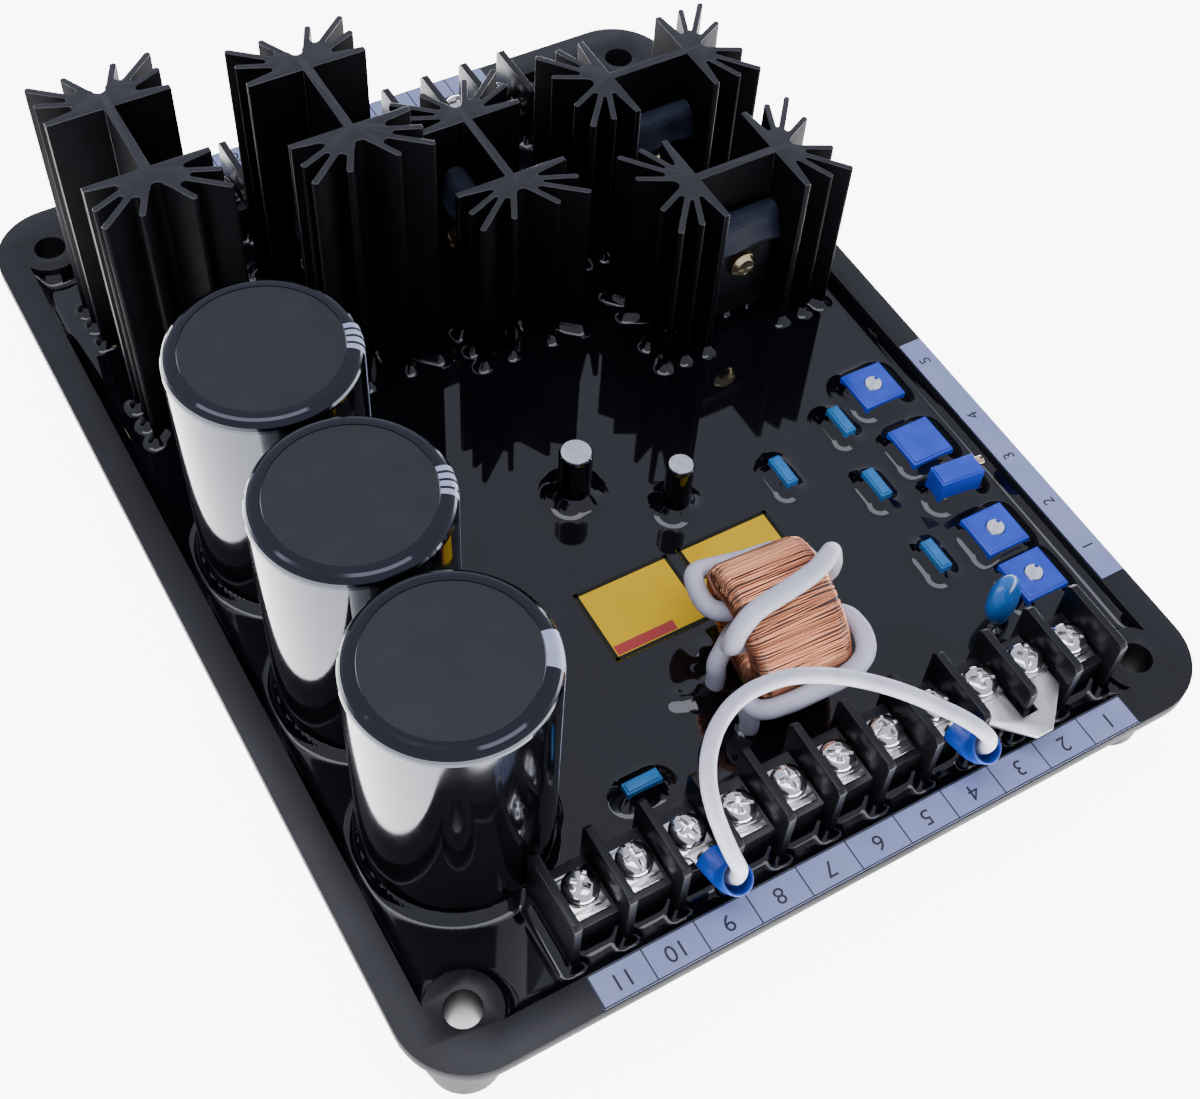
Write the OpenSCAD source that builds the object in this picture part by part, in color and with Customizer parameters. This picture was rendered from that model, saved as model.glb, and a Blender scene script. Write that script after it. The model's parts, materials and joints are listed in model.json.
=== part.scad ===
// Automatic voltage regulator for a generator: a potted board in a moulded tray,
// with smoothing capacitors, finned heat sinks, barrier terminal strips, a current
// transformer and trimmers. Millimetres, +Z up, origin under the middle of the tray
// on the plane of its four feet. Places are given from the tray's nearest edges.

/* [Tray] */
// Width of the flange, left to right
tray_w = 160; // [155:1:190]
// Depth of the flange, front to back
tray_d = 210; // [206:1:250]
// Height of the flange's top above the feet
tray_h = 21; // [19:0.5:30]
// Thickness of the flange
flange_t = 2.8; // [2:0.1:4]
// Radius of the flange's corners
corner_r = 13; // [8:0.5:16]
// Flange width beside the well, left and right
side_rim = 5.7; // [5:0.1:6.5]
// Flange width beside the well, front and back
end_rim = 6.7; // [5.5:0.1:7.2]
// Thickness of the well's walls
wall_t = 2.2; // [1.6:0.1:3]
// Depth of the well's outside below the flange's top
well_h = 15; // [14.5:0.5:17]
// Thickness of the well's floor
floor_t = 2; // [1.5:0.1:2.4]
// Radius of the well's inner corners
well_r = 4; // [2:0.5:6]

/* [Mounting] */
// Diameter of the mounting holes
hole_d = 6.4; // [5:0.1:7]
// Distance of the holes from the flange's edges
hole_inset = 11.2; // [10.5:0.1:12]
// Diameter of the bosses that carry the holes
boss_d = 13.2; // [11:0.2:14]

/* [Board and potting] */
// Thickness of the circuit board
board_t = 1.6; // [1:0.1:2]
// Height of the posts under the board
board_stand = 2; // [1.6:0.1:2.4]
// Diameter of the posts under the board
post_d = 6; // [4:0.5:8]
// Depth of the potting's surface below the flange's top
potting_drop = 3.2; // [2.5:0.1:4]
// Room between the potting and what stands in it
pot_gap = 0.1; // [0.05:0.05:0.2]

/* [Smoothing capacitors] */
// Diameter over the sleeve
cap_d = 33.4; // [30:0.1:33.6]
// Height above the board
cap_h = 59.4; // [45:0.1:70]
// Distance between neighbouring axes
cap_pitch = 33.9; // [33.8:0.1:34.4]
// Thickness of the sleeve
sleeve_t = 0.4; // [0.3:0.05:0.6]
// Radius of the rolled shoulder
shoulder_r = 2.2; // [1.2:0.1:3]
// Width of the sleeve's lip on top, inside the shoulder
lip_w = 0.7; // [0.4:0.1:1.2]
// Thickness of the disc inside the lip
top_disc_t = 0.3; // [0.2:0.05:0.35]
// Axis of the first capacitor from the left edge
cap_x = 25.6; // [24:0.1:28]
// Axis of the first capacitor from the front edge
cap_y = 41.5; // [41.5:0.1:44]

/* [Heat sinks] */
// Length of the section, between the middles of its end fins' tips
sink_l = 39.4; // [36:0.1:40.4]
// Width of the section, between the middles of its side fins' tips
sink_w = 23.4; // [20:0.1:24.4]
// Distance between the two fans
web_l = 17.3; // [16.6:0.1:18.5]
// Thickness of the web
web_t = 1.8; // [1.4:0.1:2.2]
// Thickness of a fin
fin_tip_t = 1.2; // [0.9:0.1:1.3]
// Height of the two tall sinks above the board
tall_sink_h = 63.5; // [50:0.5:75]
// Height of the three short sinks above the board
short_sink_h = 44.5; // [40:0.5:55]

/* [Power devices] */
// Width of a device
device_w = 15.8; // [14:0.1:16]
// Height of a device's body
device_h = 18.4; // [17:0.1:22]
// Thickness of a device's body
device_t = 4.9; // [4:0.1:5.5]
// Height of a device's body above the potting
device_lift = 3; // [2:0.1:5]
// Depth of the mounting hole below the body's top
device_hole_drop = 4.2; // [3.6:0.1:7]
// Thickness of the insulating pad
pad_t = 0.4; // [0.2:0.05:0.6]
// Height of the pad above the body, before its curl
pad_rise = 4; // [3:0.1:7]
// Radius of the pad's curled edge
pad_curl_r = 2.6; // [1.5:0.1:3]
// Diameter of a device screw's shank
device_screw_d = 2.9; // [2.5:0.1:3.2]

/* [Terminal strips] */
// Screws on the front strip
front_count = 11; // [10:1:11]
// Screws on the back strip
back_count = 8; // [6:1:8]
// Distance between screws on the back strip
back_pitch = 9.5; // [9.4:0.1:10]
// Middle of the front strip's first barrier from the left edge
front_strip_left = 30.6; // [30.5:0.1:33]
// Middle of the front strip's last barrier from the right edge
front_strip_right = 19.4; // [19.2:0.1:24]
// Middle of the back strip's last barrier from the right edge
back_strip_right = 42; // [38:0.1:46]
// Distance of each screw row from the tray's edge
screw_row_y = 17.6; // [17.4:0.1:17.8]
// Thickness of a barrier
barrier_t = 1.5; // [1.2:0.1:1.7]
// Height of a barrier above the board
barrier_h = 21.6; // [19:0.1:26]
// Reach of a barrier in front of the screw row
barrier_front = 8; // [7:0.1:8.4]
// Reach of a barrier behind the screw row
barrier_back = 7.3; // [6.5:0.1:7.4]
// Height of the seats above the board
seat_h = 14; // [12:0.1:15]
// Reach of a seat in front of the screw row
seat_front = 5.4; // [5:0.1:6]
// Reach of a seat behind the screw row
seat_back = 6; // [5:0.1:6.4]
// Thickness of the terminal plates, clamp plates and lugs
plate_t = 0.8; // [0.6:0.1:1]
// Diameter of the terminal screws' shanks
screw_d = 3.4; // [3:0.1:3.6]
// Diameter of the terminal screws' heads
screw_head_d = 6; // [5.4:0.1:6.4]
// Height of the terminal screws' heads
screw_head_h = 2.4; // [1.8:0.1:3]

/* [Link and jumper] */
// First screw under the shorting link, counted from the left
link_first = 9; // [9:1:9]
// Reach of the link's tip in front of the screw row
link_reach = 13; // [11:0.1:14]
// Screws that hold the jumper's two lugs, counted from the left
jumper_screws = [3, 8];
// Room between a crimp sleeve and the barrier that it leans towards
lug_room = 0.25; // [0.1:0.05:0.4]
// Outside diameter of the crimp sleeves round the barrels
crimp_d = 5.2; // [4.8:0.1:5.4]
// Outside diameter of the crimp sleeves' open ends
flare_d = 7.6; // [6.6:0.1:8]
// Diameter of the jumper
jumper_d = 2.7; // [2.2:0.1:3]

/* [Current transformer] */
// Outside diameter of the winding
ring_d = 25.8; // [24:0.1:28]
// Diameter of the hole through the winding
ring_hole_d = 12.4; // [12.2:0.1:13]
// Width of the winding along its axis
ring_w = 18; // [14:0.1:19]
// Rounding of the winding's corners
ring_r = 2.4; // [1.5:0.1:2.8]
// Thickness of the layer of wire on the core
winding_t = 1.6; // [1:0.1:2]
// Diameter of the primary wire
primary_d = 3.6; // [3:0.1:3.8]
// Turns of the primary wire
primary_turns = 3; // [3:1:3]
// Turn of the ring's axis from left-to-right, in degrees
ring_turn = -8; // [-15:1:5]
// Lean of the ring's top to the left, in degrees
ring_lean = 9; // [0:1:12]
// Middle of the ring from the right edge
ring_x = 69.6; // [62:0.1:70]
// Middle of the ring from the front edge
ring_y = 44; // [43:0.1:47]

/* [Trimmers] */
// Side of a square trimmer
trim_s = 9.5; // [8.5:0.1:10]
// Height of a square trimmer's body
trim_h = 4.8; // [4:0.1:5.5]
// Height of a square trimmer's top above the potting
trim_rise = 3.2; // [2.5:0.1:4]
// Diameter of a dial
dial_d = 3.4; // [3:0.1:5]
// Running clearance round a dial and round the adjusting screw
dial_gap = 0.15; // [0.1:0.05:0.25]
// Depth of a dial's recess
dial_depth = 1.2; // [0.8:0.1:2]
// Distance of the trimmers' middles from the right edge
trim_x = 15.9; // [15:0.1:16.5]
// Length of the multi-turn trimmer
multi_l = 9.5; // [9:0.1:10]
// Width of the multi-turn trimmer
multi_w = 4.8; // [4:0.1:5.5]
// Height of the multi-turn trimmer's body
multi_h = 10; // [9.6:0.1:11]
// Diameter of the multi-turn trimmer's adjusting screw
adjuster_d = 2.2; // [1.8:0.1:2.6]

/* [Small components] */
// Diameters of the two control capacitors
control_d = [6.6, 5.4];
// Length of the control capacitors
control_h = 15; // [12:0.5:16]
// Length of a film capacitor
film_l = 7; // [6:0.1:8]
// Thickness of a film capacitor
film_t = 2.5; // [2:0.1:3]
// Height of a film capacitor's body
film_h = 7.2; // [6:0.1:8]
// Height of a film capacitor above the potting
film_rise = 3.7; // [3:0.1:5]
// Diameter of the disc capacitor
disc_d = 9.8; // [9:0.1:11]
// Thickness of the disc capacitor
disc_t = 4.2; // [3:0.1:5]
// Lean of the disc capacitor to the back, in degrees
disc_lean = 14; // [5:1:20]
// Turn of the disc capacitor to the right, in degrees
disc_turn = 20; // [0:1:25]

/* [Labels] */
// Thickness of the label film
label_t = 0.2; // [0.15:0.05:0.3]
// Bare margin between a label and the edges of its rim
label_gap = 0.25; // [0.1:0.05:0.4]
// Length of the label beside the trimmers
side_label_l = 65.7; // [50:0.1:80]
// Front end of the label beside the trimmers, from the front edge
side_label_y = 27.8; // [24:0.1:32]
// Size of each yellow notice label
notice_size = [20.2, 16.4];

/* [Hidden] */
$fn = 48;

// Small working values
eps = 0.02;
fit = 0.1;
seat_gap = 0.05;

// Levels above the feet
well_bottom = tray_h - well_h;
floor_top = well_bottom + floor_t;
board_bottom = floor_top + board_stand;
board_top = board_bottom + board_t;
potting_top = tray_h - potting_drop;

// The well's inside and the four mounting holes
well_w = tray_w - 2 * side_rim;
well_d = tray_d - 2 * end_rim;
hole_dx = tray_w - 2 * hole_inset;
hole_dy = tray_d - 2 * hole_inset;
CORNERS = [[-1, -1], [1, -1], [1, 1], [-1, 1]];

// Places from the tray's edges: x from the left or right, y from the front or back
function left(x) = x - tray_w / 2;
function right(x) = tray_w / 2 - x;
function front(y) = y - tray_d / 2;
function back(y) = tray_d / 2 - y;

// Places of what stands on the board
CAPS = [for (i = [0 : 2]) [left(cap_x), front(cap_y + i * cap_pitch)]];
// Spare width across the tray beside the four sinks, and how it is shared out from left to right
sink_spare = well_w - 3 * sink_w - sink_l;
SINK_SHARES = [0.156, 0.474, 0.633, 0.871];
function sink_x(i) = -well_w / 2 + (i + 0.5) * sink_w + SINK_SHARES[i] * sink_spare;
wide_sink_x = -well_w / 2 + 3 * sink_w + sink_l / 2 + SINK_SHARES[3] * sink_spare;
// Depth behind the capacitors and trimmers, and a place in it
front_zone = 97;
function behind(share) = front(front_zone + share * (tray_d - front_zone));
// Room between the back strip and the two sinks in front of it
back_room = [9.4, 15.3];
function before_strip(room) = back(screw_row_y + barrier_back + room + sink_l / 2);
// Heat sinks: middle, turn of the web, height, side of the web that carries the device, valley share
SINKS = [
    [sink_x(0), behind(0.574), 90, tall_sink_h, 1, 0.56],
    [sink_x(1), before_strip(back_room[0]), 90, tall_sink_h, 1, 0.56],
    [sink_x(2), before_strip(back_room[1]), 90, short_sink_h, 1, 0.45],
    [wide_sink_x, behind(0.538), 0, short_sink_h, -1, 0.45],
    [wide_sink_x, behind(0.245), 0, short_sink_h, -1, 0.45]];
CONTROL_CAPS = [[right(82.4), front(93.6)], [right(66.4), front(82)]];
// Film capacitors: middle and turn of the long side
FILM_CAPS = [
    [right(27.1), front(83.1), 90], [right(44.5), front(77.8), 90], [right(29.9), front(66.7), 90],
    [right(29.8), front(47.4), 90], [left(56.4), front(32.3), 0]];
TRIM_Y = [35.2, 47.1, 87.9];
COVERED_TRIM_Y = 71.5;
MULTI_Y = 59.8;
multi_turn = -5;
DISC_CAP = [right(26.2), front(30.8)];
DIPPED_CAP = [left(47), front(87)];
NOTICES = [[right(84.1), front(64.8)], [right(61.7), front(64.8)]];

// The tray

module round_rect(w, d, r) {
    square([w - 2 * r, d], center = true);
    square([w, d - 2 * r], center = true);
    for (c = CORNERS) translate([c.x * (w / 2 - r), c.y * (d / 2 - r)]) circle(r);
}

module at_holes() {
    for (c = CORNERS) translate([c.x * hole_dx / 2, c.y * hole_dy / 2]) children();
}

// Plan of the well's inside, smaller by a gap, with the bosses left out
module well_plan(gap) {
    difference() {
        round_rect(well_w - 2 * gap, well_d - 2 * gap, well_r);
        at_holes() circle(boss_d / 2 + gap);
    }
}

module tray() {
    color("#26272b") {
        difference() {
            union() {
                translate([0, 0, tray_h - flange_t]) linear_extrude(flange_t)
                    round_rect(tray_w, tray_d, corner_r);
                translate([0, 0, well_bottom]) linear_extrude(well_h - flange_t + eps)
                    round_rect(well_w + 2 * wall_t, well_d + 2 * wall_t, well_r + wall_t);
                at_holes() cylinder(d = boss_d, h = tray_h);
            }
            translate([0, 0, floor_top]) linear_extrude(well_h) well_plan(0);
            at_holes() translate([0, 0, -1]) cylinder(d = hole_d, h = tray_h + 2);
        }
        for (x = [-1, 0, 1], y = [-1, 0, 1])
            translate([x * well_w * 0.36, y * well_d * 0.36, floor_top - eps])
                cylinder(d = post_d, h = board_stand + eps);
    }
}

module circuit_board() {
    color("#1f5a38") translate([0, 0, board_bottom]) linear_extrude(board_t) well_plan(2 * fit);
}

// Black resin poured round everything that stands on the board
module potting() {
    color("#17181c") difference() {
        translate([0, 0, board_top]) linear_extrude(potting_top - board_top) difference() {
            well_plan(pot_gap);
            for (c = CAPS) translate(c) circle(d = cap_d + 2 * pot_gap);
            for (s = SINKS) translate([s.x, s.y]) rotate(s[2]) {
                sink_plan(s[5], pot_gap);
                device_lead_plan(s[4], pot_gap);
            }
            at_front_strip() strip_plan(front_count, front_pitch, pot_gap);
            at_back_strip() strip_plan(back_count, back_pitch, pot_gap);
        }
        for (i = [0, 1]) translate([CONTROL_CAPS[i].x, CONTROL_CAPS[i].y, control_bottom - pot_gap])
            cylinder(d = control_d[i] + 2 * pot_gap, h = control_h);
        for (f = FILM_CAPS) at_film(f, -pot_gap)
            block(film_l + 2 * pot_gap, film_t + 2 * pot_gap, film_h);
        for (y = concat(TRIM_Y, [COVERED_TRIM_Y])) at_trimmer(y, -pot_gap)
            block(trim_s + 2 * pot_gap, trim_s + 2 * pot_gap, trim_h);
        at_multi(-pot_gap) block(multi_l + 2 * pot_gap, multi_w + 2 * pot_gap, multi_h);
        for (x = [-1, 1]) at_disc_lead(x) cylinder(d = lead_d + 2 * pot_gap, h = lead_depth + pot_gap);
        translate([DIPPED_CAP.x, DIPPED_CAP.y, potting_top - dipped_depth - pot_gap])
            cylinder(d = dipped_d + 2 * pot_gap, h = dipped_depth + 1);
    }
}

// A box standing on the plane z = 0, in the middle of x and y
module block(w, d, h) {
    translate([-w / 2, -d / 2, 0]) cube([w, d, h]);
}

// Smoothing capacitors

// Points of a quarter turn about a centre, from one angle to another
function quarter(centre, r, from, to, steps = 6) =
    [for (i = [0 : steps]) let (a = from + (to - from) * i / steps) centre + r * [cos(a), sin(a)]];

// Half section of a can with a rounded shoulder
function can_points(r, h, round_r) =
    concat([[0, 0], [r, 0]], quarter([r - round_r, h - round_r], round_r, 0, 90), [[0, h]]);

cap_can_r = cap_d / 2 - sleeve_t - seat_gap;
cap_can_h = cap_h - sleeve_t - seat_gap;
lip_r = cap_d / 2 - shoulder_r - lip_w;

module at_cap(i) {
    translate([CAPS[i].x, CAPS[i].y, board_top + seat_gap]) children();
}

module capacitor_can(i) {
    color("#b9bcc2") at_cap(i) rotate_extrude()
        polygon(can_points(cap_can_r, cap_can_h, shoulder_r - sleeve_t));
}

// Shrunk sleeve: it covers the side, rolls over the shoulder and ends in a lip on top
module capacitor_sleeve(i) {
    outer = quarter([cap_d / 2 - shoulder_r, cap_h - shoulder_r], shoulder_r, 0, 90);
    inner = quarter([cap_d / 2 - shoulder_r, cap_h - shoulder_r], shoulder_r - sleeve_t, 90, 0);
    color("#101114") at_cap(i) rotate_extrude() polygon(concat(
        [[cap_d / 2 - sleeve_t, 0], [cap_d / 2, 0]], outer,
        [[lip_r, cap_h], [lip_r, cap_h - sleeve_t]], inner));
}

module capacitor_disc(i) {
    color("#2b2c31") at_cap(i) translate([0, 0, cap_can_h + seat_gap])
        cylinder(r = lip_r - fit, h = top_disc_t);
}

// Heat sinks

fan_l = (sink_l - web_l) / 2;
// Tips of one fan's fins: outward from the fan's inner face, and along its width
FIN_TIPS = [
    [0.56 * fan_l, -1], [fan_l, -1], [fan_l, -0.42],
    [fan_l, 0.42], [fan_l, 1], [0.56 * fan_l, 1]];
hub_u = 1.4;
hub = [hub_u, 0];
tip_r = 0.35;
slot_min_r = 0.35;
slot_steps = 4;
web_bury = 0.7;
flange_tip_t = fin_tip_t;
notch_d = 2.4;

function unit(v) = v / norm(v);
function across(v) = [-v.y, v.x];
function bearing(v) = atan2(v.y, v.x);
function arm(a) = [cos(a), sin(a)];
function fin_tip(k) = [FIN_TIPS[k].x, FIN_TIPS[k].y * sink_w / 2];
// The rounded end of a fin
function tip_points(k, gap) =
    let (dir = unit(fin_tip(k) - hub), end = fin_tip(k) + gap * dir, low = end - tip_r * dir,
         half = across(dir) * (fin_tip_t / 2 + gap))
    [low - half, end - half * 0.45, end + half * 0.45, low + half];
// The round-bottomed slot between two neighbouring fins, given by their tips
function slot_points(a, b, share, gap) =
    let (start = bearing(a - hub), spread = bearing(b - hub) - start, reach = share * norm((a + b) / 2 - hub),
         middle = hub + reach * unit(unit(a - hub) + unit(b - hub)),
         r = max(slot_min_r, reach * sin(spread / 2) - fin_tip_t / 2) - gap)
    [for (i = [0 : slot_steps]) middle + r * arm(start - 90 - (180 - spread) * i / slot_steps)];

// Outline of one fan: a flat inner face, and fins that spread from a hub behind the web
function fan_points(share, gap) =
    let (hw = sink_w / 2 + gap, ft = flange_tip_t + gap, last = len(FIN_TIPS) - 1)
    concat(
        [[-gap, -hw], [ft, -hw]], slot_points([hub_u, -sink_w / 2], fin_tip(0), share, gap),
        [for (k = [0 : last]) each concat(
            tip_points(k, gap),
            slot_points(fin_tip(k), k < last ? fin_tip(k + 1) : [hub_u, sink_w / 2], share, gap))],
        [[ft, hw], [-gap, hw]]);

module sink_plan(share, gap) {
    square([web_l + 2 * web_bury, web_t + 2 * gap], center = true);
    for (turn = [0, 180]) rotate(turn) translate([web_l / 2, 0]) polygon(fan_points(share, gap));
}

// Height of the device screw above the board
device_bottom = potting_top - board_top + device_lift;
device_screw_z = device_bottom + device_h - device_hole_drop;
device_hole_d = device_screw_d + 0.6;

module heat_sink(i) {
    s = SINKS[i];
    color("#141519") translate([s.x, s.y, board_top + seat_gap]) rotate([0, 0, s[2]]) difference() {
        linear_extrude(s[3]) sink_plan(s[5], 0);
        for (side = [-1, 1]) translate([side * (web_l / 2 + fan_l * 0.5), 0, -1])
            cylinder(d = notch_d, h = s[3] + 2);
        translate([0, 0, device_screw_z]) rotate([90, 0, 0])
            cylinder(d = device_screw_d + fit, h = sink_w, center = true);
    }
}

// Power devices, clamped to the webs through insulating pads

lead_w = 1.2;
lead_t = 0.6;
lead_pitch = 5.4;
device_face = web_t / 2 + seat_gap + pad_t + seat_gap;

// Runs its children on every heat sink's web, with +Y out of the face that carries the device
module at_webs() {
    for (s = SINKS) translate([s.x, s.y, board_top]) rotate([0, 0, s[2]])
        mirror([0, s[4] > 0 ? 0 : 1, 0]) children();
}

module device_lead_plan(side, gap) {
    for (i = [-1, 0, 1]) translate([i * lead_pitch, side * (device_face + device_t / 2)])
        square([lead_w + 2 * gap, lead_t + 2 * gap], center = true);
}

module power_devices() {
    chamfer = 0.7;
    color("#1a1b1e") at_webs() {
        difference() {
            translate([0, device_face, device_bottom]) linear_extrude(device_h) polygon([
                [-device_w / 2, 0], [device_w / 2, 0],
                [device_w / 2, device_t - chamfer], [device_w / 2 - chamfer, device_t],
                [-device_w / 2 + chamfer, device_t], [-device_w / 2, device_t - chamfer]]);
            translate([0, 0, device_screw_z]) rotate([-90, 0, 0])
                cylinder(d = device_hole_d, h = device_face + device_t + 1);
        }
        for (i = [-1, 0, 1]) translate([i * lead_pitch, device_face + device_t / 2, seat_gap])
            block(lead_w, lead_t, device_bottom - seat_gap + eps);
    }
}

// Each pad rises above its device and curls out over it
module insulating_pads() {
    top = device_bottom + device_h + pad_rise;
    back = web_t / 2 + seat_gap;
    curl = [back + pad_curl_r, top];
    section = concat(
        [[back, device_bottom - 1], [back, top]],
        quarter(curl, pad_curl_r, 180, 60, 8),
        quarter(curl, pad_curl_r - pad_t, 60, 180, 8),
        [[back + pad_t, device_bottom - 1]]);
    color("#5b6570") at_webs() difference() {
        translate([device_w / 2 + 0.3, 0, 0]) rotate([90, 0, -90])
            linear_extrude(device_w + 0.6) mirror([1, 0]) polygon(section);
        translate([0, 0, device_screw_z]) rotate([-90, 0, 0])
            cylinder(d = device_hole_d, h = device_face + 1);
    }
}

module device_screws() {
    head_d = 5.6;
    head_h = 2;
    tail = 1.4;
    face = device_face + device_t;
    color("#c9b478") at_webs() translate([0, 0, device_screw_z]) rotate([-90, 0, 0]) difference() {
        union() {
            translate([0, 0, -web_t / 2 - tail])
                cylinder(d = device_screw_d, h = face + web_t / 2 + tail + seat_gap + eps);
            translate([0, 0, face + seat_gap]) pan_head(head_d, head_h);
        }
        translate([0, 0, face + head_h]) cross_slot(head_d * 0.62, 0.8, 1);
    }
}

// Screw heads

// A round head with a bevelled crown, standing on z = 0
module pan_head(d, h) {
    cylinder(d = d, h = h * 0.55);
    translate([0, 0, h * 0.55 - eps]) cylinder(d1 = d, d2 = d * 0.7, h = h * 0.45 + eps);
}

// Two crossed slots, cut down from above
module cross_slot(l, w, depth) {
    translate([0, 0, 1 - depth]) {
        block(l, w, depth + 1);
        block(w, l, depth + 1);
    }
}

// Terminal strips

strip_rise = board_top + seat_gap;
// The front strip fills the width between its two margins
front_pitch = (tray_w - front_strip_left - front_strip_right) / front_count;
screw_bore_d = screw_d + fit;
screw_depth = 7;
plate_w = 6.9;
plate_front = 4.3;
plate_back = 3.9;
clamp_s = 6.4;

// A strip's own frame: x along it from the first barrier's middle, y from the screw row
// to the tray's middle, z from the board
module at_front_strip() {
    translate([left(front_strip_left), front(screw_row_y), 0]) children();
}

module at_back_strip() {
    translate([right(back_strip_right), back(screw_row_y), 0]) rotate([0, 0, 180]) children();
}

module at_screws(count, pitch, z) {
    for (i = [0 : count - 1]) translate([(i + 0.5) * pitch, 0, strip_rise + z]) children();
}

module strip_plan(count, pitch, gap) {
    translate([-barrier_t / 2 - gap, -seat_front - gap])
        square([count * pitch + barrier_t + 2 * gap, seat_front + seat_back + 2 * gap]);
    for (i = [0 : count]) translate([i * pitch - barrier_t / 2 - gap, -barrier_front - gap])
        square([barrier_t + 2 * gap, barrier_front + barrier_back + 2 * gap]);
}

// A row of seats between upright barriers
module terminal_block(count, pitch) {
    chamfer = 0.9;
    side = [[-barrier_front, 0], [barrier_back, 0], [barrier_back, barrier_h - chamfer],
            [barrier_back - chamfer, barrier_h], [-barrier_front + chamfer, barrier_h],
            [-barrier_front, barrier_h - chamfer]];
    translate([0, 0, strip_rise]) difference() {
        union() {
            translate([0, -seat_front, 0]) cube([count * pitch, seat_front + seat_back, seat_h]);
            for (i = [0 : count]) translate([i * pitch - barrier_t / 2, 0, 0])
                rotate([90, 0, 90]) linear_extrude(barrier_t) polygon(side);
        }
        for (i = [0 : count - 1]) translate([(i + 0.5) * pitch, 0, seat_h - screw_depth])
            cylinder(d = screw_bore_d, h = screw_depth + 1);
    }
}

// A plate under each screw, with a hole that clears the shank
module terminal_plates(count, pitch) {
    at_screws(count, pitch, seat_h + seat_gap) difference() {
        translate([-plate_w / 2, -plate_front, 0]) cube([plate_w, plate_front + plate_back, plate_t]);
        translate([0, 0, -1]) cylinder(d = screw_bore_d + fit, h = plate_t + 2);
    }
}

// A lug or link under a clamp lifts it by its own thickness
function lifted(i, lugs) = len(search(i + 1, lugs)) > 0 ? plate_t + seat_gap : 0;

clamp_z = seat_h + plate_t + 2 * seat_gap;

module clamp_plates(count, pitch, lugs) {
    for (i = [0 : count - 1]) translate([(i + 0.5) * pitch, 0, strip_rise + clamp_z + lifted(i, lugs)])
        difference() {
            block(clamp_s, clamp_s, plate_t);
            translate([0, 0, -1]) cylinder(d = screw_bore_d + fit, h = plate_t + 2);
        }
}

module terminal_screws(count, pitch, lugs) {
    head_z = clamp_z + plate_t + seat_gap;
    tip_z = seat_h - screw_depth + 0.5;
    for (i = [0 : count - 1]) translate([(i + 0.5) * pitch, 0, strip_rise + lifted(i, lugs)])
        difference() {
            union() {
                translate([0, 0, tip_z]) cylinder(d = screw_d, h = head_z - tip_z + eps);
                translate([0, 0, head_z]) pan_head(screw_head_d, screw_head_h);
            }
            translate([0, 0, head_z + screw_head_h]) rotate([0, 0, 25])
                cross_slot(screw_head_d * 0.66, 1, 1.1);
        }
}

LINK_SCREWS = [link_first, link_first + 1];
FRONT_LUGS = concat(LINK_SCREWS, jumper_screws);

module front_terminal_block() {
    color("#15161a") at_front_strip() terminal_block(front_count, front_pitch);
}
module front_terminal_plates() {
    color("#d5d6d8") at_front_strip() terminal_plates(front_count, front_pitch);
}
module front_clamp_plates() {
    color("#d5d6d8") at_front_strip() clamp_plates(front_count, front_pitch, FRONT_LUGS);
}
module front_terminal_screws() {
    color("#e0dfda") at_front_strip() terminal_screws(front_count, front_pitch, FRONT_LUGS);
}
module back_terminal_block() {
    color("#15161a") at_back_strip() terminal_block(back_count, back_pitch);
}
module back_terminal_plates() {
    color("#d5d6d8") at_back_strip() terminal_plates(back_count, back_pitch);
}
module back_clamp_plates() {
    color("#d5d6d8") at_back_strip() clamp_plates(back_count, back_pitch, []);
}
module back_terminal_screws() {
    color("#e0dfda") at_back_strip() terminal_screws(back_count, back_pitch, []);
}

// Shorting link and jumper

lug_z = strip_rise + clamp_z;
link_leg_w = 6.6;

// A flat plate with two legs, one under each of two neighbouring screws, joined in a point
module shorting_link() {
    span = front_pitch;
    half = link_leg_w / 2;
    knee = 6.4;
    crotch = barrier_front + 0.8;
    tip_half = 1.7;
    color("#cfcfcd") at_front_strip() translate([(link_first - 0.5) * front_pitch, 0, lug_z])
        linear_extrude(plate_t) difference() {
            polygon([
                [-half, 3.2], [-half, -knee], [span / 2 - tip_half, -link_reach],
                [span / 2 + tip_half, -link_reach], [span + half, -knee], [span + half, 3.2],
                [span - half, 3.2], [span - half, -crotch], [half, -crotch], [half, 3.2]]);
            circle(d = screw_bore_d + fit);
            translate([span, 0]) circle(d = screw_bore_d + fit);
        }
}

// Lugs and sleeves, in a frame with x out from the screw and z up from the lug's axis
barrel_d = 3.4;
barrel_start = 4.9;
barrel_end = 8.3;
elbow_r = 3.4;
elbow_turn = 58;
flare_l = 1.6;
sleeve_wall = 0.4;
lug_w = 6.2;
neck_w = 4.2;
// The lugs turn about their screws until their sleeves nearly meet the barriers
lug_turn = asin((front_pitch / 2 - barrier_t / 2 - crimp_d / 2 - lug_room) / barrier_front);

module at_lug(k) {
    at_front_strip() translate([(jumper_screws[k] - 0.5) * front_pitch, 0, lug_z])
        rotate([0, 0, lug_turn - 90]) children();
}

// A forked tongue with a barrel that grips the wire
module jumper_lug(k) {
    color("#d9d8d2") at_lug(k) {
        difference() {
            linear_extrude(plate_t) polygon([
                [-2.6, -lug_w / 2], [2.2, -lug_w / 2], [3.4, -neck_w / 2], [barrel_start, -neck_w / 2],
                [barrel_start, neck_w / 2], [3.4, neck_w / 2], [2.2, lug_w / 2], [-2.6, lug_w / 2]]);
            cylinder(d = screw_bore_d + fit, h = 3 * plate_t, center = true);
            translate([-3, -(screw_bore_d + fit) / 2, -1]) cube([3, screw_bore_d + fit, 3]);
        }
        translate([barrel_start - 0.6, 0, barrel_d / 2]) rotate([0, 90, 0])
            cylinder(d = barrel_d, h = barrel_end - barrel_start + 0.6);
    }
}

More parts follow.
